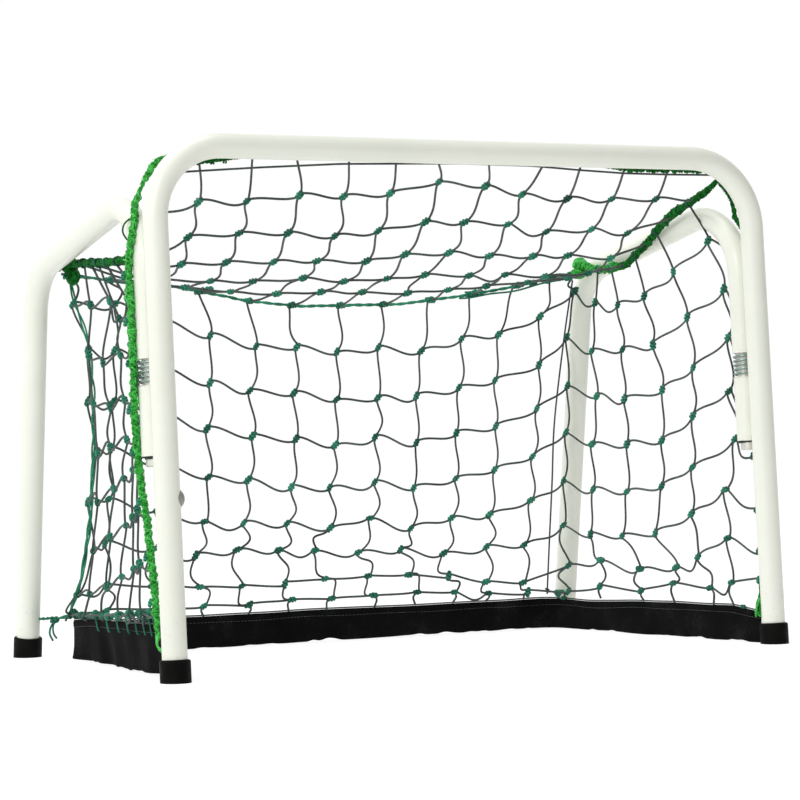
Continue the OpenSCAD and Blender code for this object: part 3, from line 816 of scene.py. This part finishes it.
def rope_pieces():
    rng = np.random.default_rng(23)
    xs = np.linspace(-283, 282, 60)
    rear = curve(np.stack([xs, rope_y(xs) + 1.0, rope_z(xs)], 1), 2.0)
    for side, name in ((-1, "left"), (1, "right")):
        p = Parts()
        line = half(rear, side)
        for ph in (0, math.pi):
            wound(p, line, 0.62, 1.12, 24.0, ph, 1, 0, 0.02, rng, 0.25, 6, 14)
        cols = range(0, 7) if side < 0 else range(7, 13)
        for i in cols:
            x = ROPE_X[i]
            at = np.array([x, rope_y(x) + 1.0, rope_z(x)])
            wide = {3: 13, 9: 14, 10: 8, 11: 9}.get(i, 8.0) * rng.uniform(0.9, 1.15)
            hitch(p, at, (1, 0, 0.05), 2.2, rng, wide, 1.15, 1, 0.05)
            hitch(p, at + np.array([1.0, -0.6, 0.9]), (1, 0, 0.35), 2.0, rng, wide * 0.55, 1.3, 1, 0.10)
            if i in (3, 9, 10, 11):
                knot(p, at + np.array([wide * 0.55, -0.8, 1.2]), unit(np.array([1.0, 0, 0.25])), rng, 1.1, 1)
        if side > 0:
            # second turn of the edge cord towards the right corner
            xs2 = np.linspace(146, 281, 16)
            lace = np.array([(x, rope_y(x) - 1.5, rope_z(x) - 1.8 - 2.2 * math.sin((x - 146) / 135 * math.pi) + 0.7 * math.sin(x / 9.0)) for x in xs2])
            tube(p, curve(lace, 2.5), 0.95, 6, 1, 0.03)
            xs2 = np.linspace(222, 281, 10)
            lace = np.array([(x, rope_y(x) - 2.5, rope_z(x) + 2.2 * math.sin((x - 222) / 59 * math.pi)) for x in xs2])
            tube(p, curve(lace, 2.5), 0.9, 6, 1, 0.08)
            for x in (231, 246, 262, 272):
                knot(p, np.array([x, rope_y(x) - 1.5, rope_z(x) - 0.5]), unit(np.array([1.0, 0, rng.uniform(-0.3, 0.6)])), rng, 1.15, 1)
        else:
            xs2 = np.linspace(-283, -128, 16)
            lace = np.array([(x, rope_y(x) - 3.0, rope_z(x) + 2 - 4.0 * math.sin((x + 283) / 155 * math.pi)) for x in xs2])
            tube(p, curve(lace, 2.5), 1.0, 6, 1, 0.0)
        ob = p.make("rear_rope_" + name, [ROPE, KNOT])
        pieces.append((ob, side, ["rear_rope"], "net_twine"))
    # cord behind the crossbar, on which the net's front edge hangs
    xs = np.linspace(-286, 286, 50)
    bar = curve(np.stack([xs, 43.6 + 0 * xs, bar_z(xs)], 1), 2.5)
    p = Parts()
    tube(p, bar, 0.95, 6, 0, -0.02)
    # the wound upper cord, out of sight behind the tube for most of its run
    up = curve(np.stack([xs, 41.2 + 0 * xs, np.interp(xs, [-286, -262, -244, -226, -208, -190, 150, 182, 226, 273, 286], [443, 446.4, 449, 451.5, 454, 454.5, 453.5, 449.6, 449.9, 450.2, 448])], 1), 2.0)
    size = [1.5, 1.1, 0.9, 0.8, 0.8, 0.8, 0.8, 0.8, 0.9, 1.3, 1.5, 1.7, 1.9]
    for ph in (0, 2.1, 4.2):
        wound(p, up, size, 1.0, 8.5, ph, 1, 2, 0.0, rng, 0.35, 6, 9)
    for i in range(1, 12):
        at = np.array([BAR_X[i], 40.6, 453.6])
        hitch(p, at, (1, 0, 0), 2.0, rng, 4, 0.8, 1, -0.1)
    for x in (-262, -247, -236, 186, 195, 213, 224, 236, 251, 263):
        at = np.array([x, 41.4, np.interp(x, [-262, -226, 182, 273], [446.4, 449, 449.6, 450.2])])
        hitch(p, at, (1, 0, rng.uniform(-0.4, 0.4)), 2.3 if x > 0 else 1.7, rng, 3.2, 0.9, 2, 0.05)
    ob = p.make("crossbar_rope_wound", [TWINE, KNOT, DARK])
    pieces.append((ob, 0, ["crossbar_rope"], "net_twine"))


rope_pieces()

# ---------------------------------------------------------------- lashings
def profiled(values, f):
    return np.interp(f, np.linspace(0, 1, len(values)), values)


def lashing(line, rng, shade=None, size=1.0, mat=0, fuzz=1.0):
    """A net edge bound in wound cord: a core, two lays of strands, a crocheted outer loop row and loose fibre.
    size is one number or (share of the length, factor) pairs, shade one number or a row of them."""
    p = Parts()
    c = curve(line, 2.0)
    s = lengths(c)
    f = s / s[-1]
    fine = np.linspace(0, 1, 121)
    if np.ndim(size):
        pts = np.array(size, float)
        g = np.interp(fine, pts[:, 0], pts[:, 1])
    else:
        g = np.full(121, float(size))
    gf = np.interp(f, fine, g)
    sh = np.zeros(2) if shade is None else np.asarray(shade, float)
    # painted shade and light: the core, seen only in the gaps between the strands, is made darker (-0.12), while the
    # outer lay (+0.10), the loops and the loose fibres are made lighter
    tube(p, c, 2.3 * gf, 8, mat, profiled(sh, f) - 0.12)
    for k in range(3):
        wound(p, c, 2.2 * g, 1.25 * np.sqrt(g), 10.0, k * 2 * math.pi / 3, 1, mat, 0.04 * (k - 1) + sh, rng, 0.30, 7, 12)
    for k in range(2):
        wound(p, c, 2.75 * g, 0.95 * np.sqrt(g), 14.0, k * math.pi + 0.7, -1, mat, 0.10 + sh, rng, 0.34, 6, 14)
    t, n, b = moving_frame(c)
    # small crocheted loops that make the outline uneven
    for k in range(3, len(c) - 3, 3):
        th = rng.uniform(0, 6.28)
        out = np.cos(th) * n[k] + np.sin(th) * b[k]
        w = np.cross(t[k], out)
        r0 = 2.6 * gf[k]
        a = c[k] + out * r0 - t[k] * 2.4
        e = c[k] + out * r0 + t[k] * 2.4
        m = c[k] + out * (r0 + rng.uniform(0.9, 1.9) * math.sqrt(gf[k])) + w * rng.uniform(-1.4, 1.4)
        tube(p, curve([a, m, e], 1.2), rng.uniform(0.6, 0.95) * math.sqrt(gf[k]), 5, mat, rng.normal(0.06, 0.10) + float(profiled(sh, f[k])))
    # loose fibres, made lighter (+0.15): painted light on the binding's outside
    for _ in range(int(len(c) * 0.7 * fuzz)):
        k = rng.integers(1, len(c) - 2)
        th = rng.uniform(0, 6.28)
        out = np.cos(th) * n[k] + np.sin(th) * b[k]
        a = c[k] + out * 3.0 * gf[k]
        ln = rng.uniform(1.5, 4.5)
        e = a + out * rng.uniform(0.4, 1.3) + t[k] * ln * rng.choice([-1, 1])
        m = (a + e) / 2 + out * rng.uniform(0.4, 1.3)
        tube(p, curve([a, m, e], 1.2), 0.16, 4, mat, 0.15 + float(profiled(sh, f[k])))
    return p, c


def clump(p, centre, half_size, rng, count, strand, mats, shade=0.0):
    """A knot of cord: loops wound round a lump in all directions."""
    centre, half_size = np.asarray(centre, float), np.asarray(half_size, float)
    for k in range(count):
        axis = unit(rng.normal(0, 1, 3) * np.array([1.0, 1.0, 0.6]))
        helper = unit(np.cross(axis, [0.3, 0.5, 0.8]))
        other = np.cross(axis, helper)
        th = np.linspace(0, 2 * math.pi, 19)
        off = axis * rng.uniform(-0.55, 0.55)
        r = math.sqrt(max(0.1, 1 - float(off @ off)))
        ring = centre + (off + r * (np.outer(np.cos(th), helper) + np.outer(np.sin(th), other))) * half_size * rng.uniform(0.86, 1.04)
        tube(p, curve(ring, 2.0), strand * rng.uniform(0.85, 1.15), 6, mats[k % len(mats)], shade + rng.normal(0, 0.09))


def lashings():
    rng = np.random.default_rng(31)
    left = [(0, 0.30), (0.02, 0.55), (0.04, 1.0), (0.06, 0.95), (0.078, 0.52), (0.09, 0.42), (0.105, 0.70), (0.13, 1.0), (0.5, 1.0), (0.9, 0.95), (0.97, 0.85), (1, 0.6)]
    right = [(0, 0.55), (0.1, 0.62), (0.2, 0.55), (0.3, 0.42), (0.72, 0.40), (0.8, 0.5), (0.9, 0.8), (1, 0.85)]
    for side, name, line in ((-1, "left", POST_L), (1, "right", POST_R)):
        if side < 0:
            p, c = lashing(line, rng, None, left)
            # loose turn of dark twine beside the cord, below the bend, and a bright end of cord
            loop = [(-315.6, 59, 399), (-321.5, 58, 396.5), (-326.5, 56, 391.5), (-327.5, 55, 385.5), (-325, 52, 379.5), (-322, 49, 376)]
            tube(p, curve(loop, 2.0), 0.85, 6, 1, 0.05)
            tail = [(-329.5, 50, 362), (-331.0, 44, 361.5), (-331.5, 38, 360)]
            tube(p, curve(tail, 2.0), 0.7, 6, 0, 0.2)
            ends = [(-317, 19, 42), (-321, 15, 37), (-322, 12, 31), (-318, 10, 27), (-313, 13, 26), (-312, 17, 31), (-315, 19, 38)]
            tube(p, curve(ends, 1.5), 1.05, 6, 0, 0.25)
            ends = [(-316, 19, 40), (-318, 21, 33), (-316, 22, 27), (-312, 21, 24)]
            tube(p, curve(ends, 1.5), 1.0, 6, 0, 0.2)
            for z in (300, 180, 60):
                q = on_line(line, z)
                hitch(p, q, (0, 0, 1), 3.6, rng, 4, 1.1, 0, 0.12)
        else:
            # painted shade: the cord is the bright lashing, but over most of its length it gets the dark lashing
            # material
            p, c = lashing(line, rng, None, right, mat=1)
            # its own bright green shows only at its lower end, where it is tied down
            low = [q for q in line if q[2] < 100]
            q1, c1 = lashing(low, rng, None, [(0, 0.42), (0.5, 0.6), (1, 0.9)])
            p.add(np.vstack(q1.v), np.vstack(q1.q), np.vstack(q1.quv), np.vstack(q1.t), np.vstack(q1.tuv), 0, np.concatenate(q1.s))
            clump(p, (307.0, 17.0, 33.5), (3.3, 3.3, 8.5), rng, 9, 1.2, (0,), 0.1)
            ends = [(306, 16, 42), (302, 13.5, 37), (300, 14, 31), (301.5, 16, 25)]
            tube(p, curve(ends, 1.5), 1.0, 6, 0, 0.15)
        ob = p.make("post_cord_" + name, [BRIGHT, DARK])
        pieces.append((ob, 0, ["post_lashing_" + name], "lashing_bright"))
    # side lashings, with the bundle of spare cord at each rear corner; they are the bright green cord, and the dark
    # lashing material over most of them is painted shade
    p, c = lashing(LASH_L, rng, [0.0, 0.0], [(0, 0.9), (0.1, 1.1), (0.4, 0.88), (0.8, 0.9), (1, 0.7)], 0, 0.5)
    clump(p, (-282.2, 276, 359.0), (5.5, 6.5, 7.4), rng, 34, 1.35, (0,), -0.03)
    clump(p, (-283.5, 280, 367.5), (6.5, 6.5, 4.2), rng, 16, 1.3, (0,), 0.0)
    ob = p.make("side_cord_left", [DARK, BRIGHT])
    pieces.append((ob, -1, ["side_lashing_left"], "lashing_dark"))
    p, c = lashing(LASH_R, rng, [0.0, 0.0], [(0, 0.85), (0.15, 0.95), (0.35, 1.08), (0.72, 1.28), (0.8, 0.95), (0.9, 1.15), (1, 0.6)], 0, 0.5)
    head = [q for q in LASH_R if q[1] > 215]
    # painted shade: the bright head at the right rear corner is made darker towards the front (shade 0.05 to -0.15)
    q1, c1 = lashing(head, rng, [0.05, 0.0, -0.15], [(0, 1.0), (0.6, 1.2), (1, 1.1)])
    p.add(np.vstack(q1.v), np.vstack(q1.q), np.vstack(q1.quv), np.vstack(q1.t), np.vstack(q1.tuv), 1, np.concatenate(q1.s))
    clump(p, (284.0, 288, 374.0), (7.6, 6.0, 6.2), rng, 22, 1.25, (1,), 0.05)
    clump(p, (280.0, 287, 364.5), (8.5, 6.0, 4.4), rng, 16, 1.2, (1,), 0.0)
    clump(p, (288.0, 234, 369.0), (3.6, 5.5, 5.0), rng, 10, 1.15, (1, 2), 0.0)
    ob = p.make("side_cord_right", [DARK, BRIGHT, KNOT])
    pieces.append((ob, 1, ["side_lashing_right"], "lashing_dark"))


lashings()

# ---------------------------------------------------------------- seams and ties
def seams_and_ties():
    rng = np.random.default_rng(41)
    seam_l = [(-277, 293, 352), (-275, 289, 334), (-269, 279, 305), (-266, 275, 272), (-265, 274, 240), (-265, 276, 200), (-266, 281, 150), (-268, 290, 105), (-270, 303, 72), (-272, 316, 50), (-272, 326, 40)]
    seam_r = [(278, 294, 358), (274, 306, 300), (269, 320, 215), (268, 326, 150), (267, 332, 90), (266, 337, 35)]
    for side, name, line in ((-1, "left", seam_l), (1, "right", seam_r)):
        p = Parts()
        c = curve(line, 2.0)
        if side < 0:
            for ph in (0, 2.1, 4.2):
                wound(p, c, 1.3, 0.95, 60.0, ph, 1, 0, 0.0, rng, 0.35, 6, 24)
        else:
            tube(p, c, 1.0, 6, 1, -0.05)
            hitch(p, c[-3], (0, 0, 1), 1.6, rng, 4.0, 0.9, 1, 0)
        ob = p.make("corner_lace_" + name, [ROPE, TWINE])
        pieces.append((ob, side, ["corner_seam_" + name], "net_twine"))
        # ties from the rear corners to the rear frame's tube
        p = Parts()
        leg = [(side * 284.5, 290, 366), (side * 288, 292.5, 368), (side * 291.8, 295.8, 369.2)]
        for o in (0, 1):
            wound(p, curve(leg, 1.5), 1.1, 1.0, 7.0, o * math.pi, 1, 0, 0.05, rng, 0.2, 6, 9)
        knot(p, np.array([side * 289.0, 293.2, 368.3]), unit(np.array([0.3, 0.2, 1.0])), rng, 1.0, 1)
        ob = p.make("corner_tie_cord_" + name, [DARK if side < 0 else BRIGHT, KNOT])
        pieces.append((ob, "rear_" + name, ["corner_tie_" + name], "lashing_dark"))
        p = Parts()
        knot_at = np.array([side * 280.0, 340, 35.5])
        leg = [(side * 279, 339, 37.5), (side * 286.5, 343.5, 37), (side * 293.4, 348.9, 36.4)]
        for o in (0, 1):
            wound(p, curve(leg, 1.5), 0.8, 0.8, 9.0, o * math.pi, 1, 1, 0, rng, 0.2, 6, 9)
        clump(p, knot_at, (2.9, 2.2, 2.6) if side < 0 else (2.2, 2.0, 2.2), rng, 5, 0.95, (0,), 0.03)
        knot(p, knot_at + [side * 1.0, 0, -0.5], unit(np.array([side * 1.0, 0.5, -0.4])), rng, 1.1, 0)
        for o in (-1, 1):
            tail = [knot_at, knot_at + [side * (3.0 + o), 2, -6], knot_at + [side * (3.5 + 2 * o), 2.5, -13], knot_at + [side * (0.5 + 2 * o), 2, -19 - o]]
            tube(p, curve(tail, 1.5), 1.0, 6, 0, 0.05)
        ob = p.make("foot_tie_cord_" + name, [KNOT, ROPE])
        pieces.append((ob, "rear_" + name, ["foot_tie_" + name], "net_twine"))


seams_and_ties()

# ---------------------------------------------------------------- skirt
def skirt_plan():
    """Plan line of the skirt from the left front, round the back, to the right front, at its top edge."""
    pts = [(-305, 17), (-303, 30), (-299, 70), (-291, 150), (-281, 235), (-272, 300), (-268, 322), (-262, 334), (-250, 338.5), (-180, 339), (0, 339),
           (180, 339), (252, 339), (266, 336), (273, 326), (279, 290), (287, 200), (296, 100), (304.6, 30), (307.4, 15.4)]
    return curve([(x, y, 0) for x, y in pts], 3.0)


def skirt():
    rng = np.random.default_rng(53)
    c = skirt_plan()
    s = lengths(c)
    total = s[-1]
    t = np.gradient(c, axis=0)
    t /= np.linalg.norm(t, axis=1)[:, None]
    out = np.stack([-t[:, 1], t[:, 0], 0 * t[:, 0]], 1)       # to the outside of the goal
    mid = int(np.argmin(np.abs(c[:, 0] - 8) + 1e3 * (c[:, 1] < 300)))
    corner_l = s[np.argmin(np.linalg.norm(c - [-262, 334, 0], axis=1))]
    corner_r = s[np.argmin(np.linalg.norm(c - [266, 336, 0], axis=1))]
    # the cloth is held at its corners and hangs loose between them
    still = 1 - 1.0 * np.exp(-((s - corner_l) / 38) ** 2) - 0.9 * np.exp(-((s - corner_r) / 30) ** 2) - 0.97 * np.exp(-(s / 30) ** 2) - 0.97 * np.exp(-((total - s) / 30) ** 2)

    def waves(scale, amp, seed, smooth=13):
        r = np.random.default_rng(seed)
        k = int(total / scale) + 3
        f = np.interp(s, np.linspace(0, total, k), r.normal(0, 1, k))
        ker = np.hanning(smooth)
        return amp * np.convolve(np.pad(f, smooth // 2, "edge"), ker / ker.sum(), "valid")

    place = np.array([0, 60, 110, 160, 230, corner_l - 20, corner_l + 12, corner_l + 40, total / 2, corner_r - 60, corner_r + 15, corner_r + 90, corner_r + 200, corner_r + 285, total])
    top = np.interp(s, place, [46, 44.5, 43.5, 42.3, 40.5, 36, 34, 31.5, 31.5, 30.4, 29.8, 31.8, 33.8, 33.2, 30]) + waves(40, 0.6, 1)
    low = 0.3 + np.clip(waves(24, 1.7, 2) + waves(9, 1.1, 6, 5) - 0.7, -0.2, 2.8) + np.interp(s, [0, 60, 120, total], [2.4, 2.0, 0, 0])
    wave_low = (waves(34, 4.6, 3) + waves(13, 1.0, 8, 5)) * still
    wave_mid = waves(26, 2.0, 4) * still
    wave_top = waves(50, 1.0, 5) * still
    rows = 15
    th = 0.55
    hem = 6.2
    for side, name in ((-1, "left"), (1, "right")):
        ids = np.arange(0, mid + 2) if side < 0 else np.arange(mid - 1, len(c))
        # the two lengths of cloth lap over each other behind the goal's middle
        lap = ease(1 - (s[mid + 1] + 9 - s) / 18) if side < 0 else ease(1 - (s - s[mid - 1] + 9) / 18)
        lap = np.clip(lap, 0, 1) * (-1.0 if side < 0 else 1.35)
        grids = []
        for face in (1, -1):
            g = []
            for r in range(rows):
                f = r / (rows - 1)
                z = top + (low - top) * f
                depth = wave_top * (1 - f) + wave_mid * math.sin(math.pi * f) + wave_low * f ** 1.6 + lap
                down = (top - z)
                puff = np.where(down < hem, 0.8 * np.sqrt(np.clip(1 - ((down - hem / 2) / (hem / 2)) ** 2, 0, 1)), 0)
                bead = 0.45 * np.exp(-((z - low) / 1.2) ** 2)
                g.append(c + out * (depth + face * (th + puff + bead))[:, None] + np.stack([0 * z, 0 * z, z], 1))
            grids.append(np.array(g)[:, ids])
        n = len(ids)
        V = np.concatenate([grids[0].reshape(-1, 3), grids[1].reshape(-1, 3)])
        quads, uvs = [], []
        off = rows * n
        su = s[ids]

        def q(a, b, cc, d, ua, ub, uc, ud):
            quads.append((a, b, cc, d))
            uvs.append((ua, ub, uc, ud))
        for r in range(rows - 1):
            for k in range(n - 1):
                a, b, cc, d = r * n + k, r * n + k + 1, (r + 1) * n + k + 1, (r + 1) * n + k
                ua, ub, uc, ud = (su[k] / 100, r * 2.6 / 100), (su[k + 1] / 100, r * 2.6 / 100), (su[k + 1] / 100, (r + 1) * 2.6 / 100), (su[k] / 100, (r + 1) * 2.6 / 100)
                q(a, d, cc, b, ua, ud, uc, ub)
                q(a + off, b + off, cc + off, d + off, ua, ub, uc, ud)
        for k in range(n - 1):
            u0, u1 = su[k] / 100, su[k + 1] / 100
            q(k, k + 1, k + 1 + off, k + off, (u0, 0), (u1, 0), (u1, 0.01), (u0, 0.01))
            r = (rows - 1) * n
            q(r + k, r + k + off, r + k + 1 + off, r + k + 1, (u0, 0), (u0, 0.01), (u1, 0.01), (u1, 0))
        for r in range(rows - 1):
            a, b = r * n, (r + 1) * n
            q(a, a + off, b + off, b, (0, 0), (0.01, 0), (0.01, 0.02), (0, 0.02))
            a, b = r * n + n - 1, (r + 1) * n + n - 1
            q(a, b, b + off, a + off, (0, 0), (0, 0.02), (0.01, 0.02), (0.01, 0))
        p = Parts()
        p.add(V, quads, uvs)
        ob = p.make("skirt_cloth_" + name, [CLOTH])
        sub = ob.modifiers.new("soften", "SUBSURF")
        sub.levels = sub.render_levels = 1
        dg = bpy.context.evaluated_depsgraph_get()
        mesh = bpy.data.meshes.new_from_object(ob.evaluated_get(dg))
        ob.modifiers.clear()
        ob.data = mesh
        pieces.append((ob, side, ["skirt"], "skirt_cloth"))
        skirt_obs[name] = (ob, float(np.mean((top - low)[ids])), s[ids[-1]] - s[ids[0]])
        # stitches along the top hem, on both faces
        st = Parts()
        pos = s[ids[0]] + 3.0
        while pos < s[ids[-1]] - 4:
            for face in (1, -1):
                q3 = []
                for e in (0, 1.3, 2.6):
                    d = pos + e
                    base = np.array([np.interp(d, s, c[:, k]) for k in range(3)])
                    o = np.array([np.interp(d, s, out[:, k]) for k in range(3)])
                    zt = np.interp(d, s, top) - hem - 0.3 + 0.35 * math.sin(d / 17)
                    f = (hem + 0.3) / (np.interp(d, s, top) - np.interp(d, s, low))
                    dep = np.interp(d, s, wave_top) * (1 - f) + np.interp(d, s, wave_mid) * math.sin(math.pi * f) + np.interp(d, s, wave_low) * f ** 1.6 + np.interp(d, s, lap)
                    q3.append(base + o * (dep + face * (th + 0.28)) + np.array([0, 0, zt]))
                tube(st, np.array(q3), 0.26, 5, 0, 0)
            pos += 3.9
        ob2 = st.make("skirt_stitch_" + name, [THREAD])
        pieces.append((ob2, side, [], "skirt_cloth"))
        skirt_extra[name] = [ob2]
        # ground rope: a thin cord on the skirt's top edge, and on the left side a doubled rope above it, laced to the skirt
        gr = Parts()
        edge = c + out * (wave_top + lap)[:, None] + np.stack([0 * s, 0 * s, top + 0.9], 1)
        tube(gr, even(edge[ids], 4.0), 0.72, 6, 2, 0)
        if side < 0:
            own = s < corner_l + 2
            lift = np.interp(s, [0, 55, 80, 130, 178, 228, 295, corner_l, corner_l + 2], [57, 56, 54, 49.8, 46, 43.5, 40.5, 38.5, 38])
            path = (c + out * (wave_top * 0.6)[:, None] + np.stack([0 * s, 0 * s, lift + 0.8 * np.sin(s / 11.0)], 1))[own]
            path = np.vstack([path, [(-268, 337, 38.0), (-276, 339.5, 37.2)]])
            for ph in (0, 2.1, 4.2):
                wound(gr, path, 1.15, 1.05, 34.0, ph, 1, 0, 0.02, rng, 0.6, 6, 16)
            for d in (66, 92, 118, 150, 183, 222, 262, 300):
                base = np.array([np.interp(d, s[own], path[:len(s[own]), k]) for k in range(3)])
                o = np.array([np.interp(d, s, out[:, k]) for k in range(3)])
                tt = np.array([np.interp(d, s, t[:, k]) for k in range(3)])
                hitch(gr, base, tt, 2.6, rng, rng.uniform(5, 8), 1.15, 1, 0.05)
                knot(gr, base + o * 1.2 + np.array([0, 0, rng.uniform(-1, 2)]), unit(tt + np.array([0, 0, rng.uniform(-0.6, 0.6)])), rng, 1.15, 1)
            # lacing from the rope down through the hem
            for d in (52, 66, 84, 104, 128, 156, 186, 222):
                base = np.array([np.interp(d, s[own], path[:len(s[own]), k]) for k in range(3)])
                o = np.array([np.interp(d, s, out[:, k]) for k in range(3)])
                tt = np.array([np.interp(d, s, t[:, k]) for k in range(3)])
                zt = float(np.interp(d, s, top))
                dep = float(np.interp(d, s, wave_top))
                foot = np.array([np.interp(d - 10, s, c[:, 0]), np.interp(d - 10, s, c[:, 1]), zt - rng.uniform(7.5, 9.5)]) + o * (dep + 2.0)
                loop = [base + o * 2.0, base * 0.5 + foot * 0.5 + o * 1.0, foot, foot - o * 1.6 + np.array([0, 0, -0.6])]
                tube(gr, curve(loop, 1.5), 0.85, 6, 1, 0.05)
                back = [foot - o * 4.0, foot - o * 4.2 + np.array([0, 0, 6]) + tt * 5, base - o * 1.6]
                tube(gr, curve(back, 1.5), 0.8, 6, 1, 0)
        else:
            for d in (corner_r + 20, corner_r + 300):
                base = np.array([np.interp(d, s, edge[:, k]) for k in range(3)])
                tt = np.array([np.interp(d, s, t[:, k]) for k in range(3)])
                hitch(gr, base, tt, 1.4, rng, 5, 0.8, 1, -0.1)
        ob3 = gr.make("ground_cord_" + name, [ROPE, KNOT, TWINE])
        pieces.append((ob3, side, ["ground_rope"], "net_twine"))


skirt_obs, skirt_extra = {}, {}
skirt()

# ---------------------------------------------------------------- lock springs
def springs():
    """Coil springs on the swivels, made at rest length. A real one closes up as a rear frame is pressed down; here each
    is only put in the closing list with its press, axis and anchor.
    """
    lean = math.radians(3.4)
    along, across = np.array([0, math.sin(lean), math.cos(lean)]), np.array([0, math.cos(lean), -math.sin(lean)])
    for side, name in ((-1, "left"), (1, "right")):
        base = np.array([side * 311.0, 0, 0]) + 24 * across + 255.4 * along
        a = np.linspace(0, 10 * math.pi, 181)
        c = base + 10 * (np.outer(np.cos(a), [1, 0, 0]) + np.outer(np.sin(a), across)) + np.outer(1 + 20.4 * a / a[-1], along)
        p = Parts()
        tube(p, c, 1.0, 10)
        ob = p.make("spring_wire_" + name, [SPRING])
        pieces.append((ob, "swivel_" + name, ["lock_spring_" + name], "spring_steel"))
        closing.append((ob, name + "_press", tuple(float(v) for v in along), tuple(metres(base))))


closing = []
springs()


for ob, mode, nodes, slot in pieces:
    if nodes:
        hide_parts(*nodes)
    if mode == 0:
        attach(ob, "root")
    elif isinstance(mode, str):
        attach(ob, mode)
    else:
        tuple(metres((mode * 12, 60, 100)))
        tuple(metres((mode * 280, 300, 100)))
        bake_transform(ob)
        co = np.empty(len(ob.data.vertices) * 3)
        ob.data.vertices.foreach_get("co", co)

# each spring gets a mesh of its own, left at rest length; pressed 6 mm down, a spring keeps 16.4 mm of its 22.4 mm
for ob, joint, axis, anchor in closing:
    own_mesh(ob)

# ---------------------------------------------------------------- floor, light
def bowl():
    """Pale floor that curves up into a wall all round."""
    prof = [(0, 0), (1.5, 0), (3.0, 0), (4.5, 0)]
    for a in np.linspace(0, math.pi / 2, 13)[1:]:
        prof.append((4.5 + 3.0 * math.sin(a), 3.0 - 3.0 * math.cos(a)))
    prof.append((7.5, 7.0))
    seg = 96
    v, f = [(0, 0, 0)], []
    for r, z in prof[1:]:
        for k in range(seg):
            v.append((r * math.cos(2 * math.pi * k / seg), r * math.sin(2 * math.pi * k / seg), z))
    for k in range(seg):
        f.append((0, 1 + k, 1 + (k + 1) % seg))
    for j in range(len(prof) - 2):
        a, b = 1 + j * seg, 1 + (j + 1) * seg
        for k in range(seg):
            f.append((a + k, b + k, b + (k + 1) % seg, a + (k + 1) % seg))
    mesh = bpy.data.meshes.new("floor")
    mesh.from_pydata(v, [], f)
    mesh.polygons.foreach_set("use_smooth", np.full(len(f), True))
    mesh.materials.append(plain_stage("floor_white", 0.30, 0.78, 0.10))
    ob = bpy.data.objects.new("floor", mesh)
    bpy.context.scene.collection.objects.link(ob)
    return ob


bowl()


def area(name, at, target, size, power):
    d = bpy.data.lights.new(name, "AREA")
    d.shape = "DISK"
    d.size = size
    d.energy = power
    o = bpy.data.objects.new(name, d)
    o.location = at
    o.rotation_mode = "QUATERNION"
    o.rotation_quaternion = (Vector(target) - Vector(at)).to_track_quat("-Z", "Y")
    bpy.context.scene.collection.objects.link(o)
    return o


area("key", (-2.1, -1.75, 1.7), (0, 0, 0.25), 1.3, 27)
area("top", (-0.6, 0.2, 3.2), (0, 0, 0.1), 2.6, 44)
world = bpy.data.worlds.new("studio")
bpy.context.scene.world = world
world.use_nodes = True
world.node_tree.nodes["Background"].inputs["Color"].default_value = (1, 1, 1, 1)
world.node_tree.nodes["Background"].inputs["Strength"].default_value = 0.55
bpy.context.scene.view_settings.view_transform = "Standard"
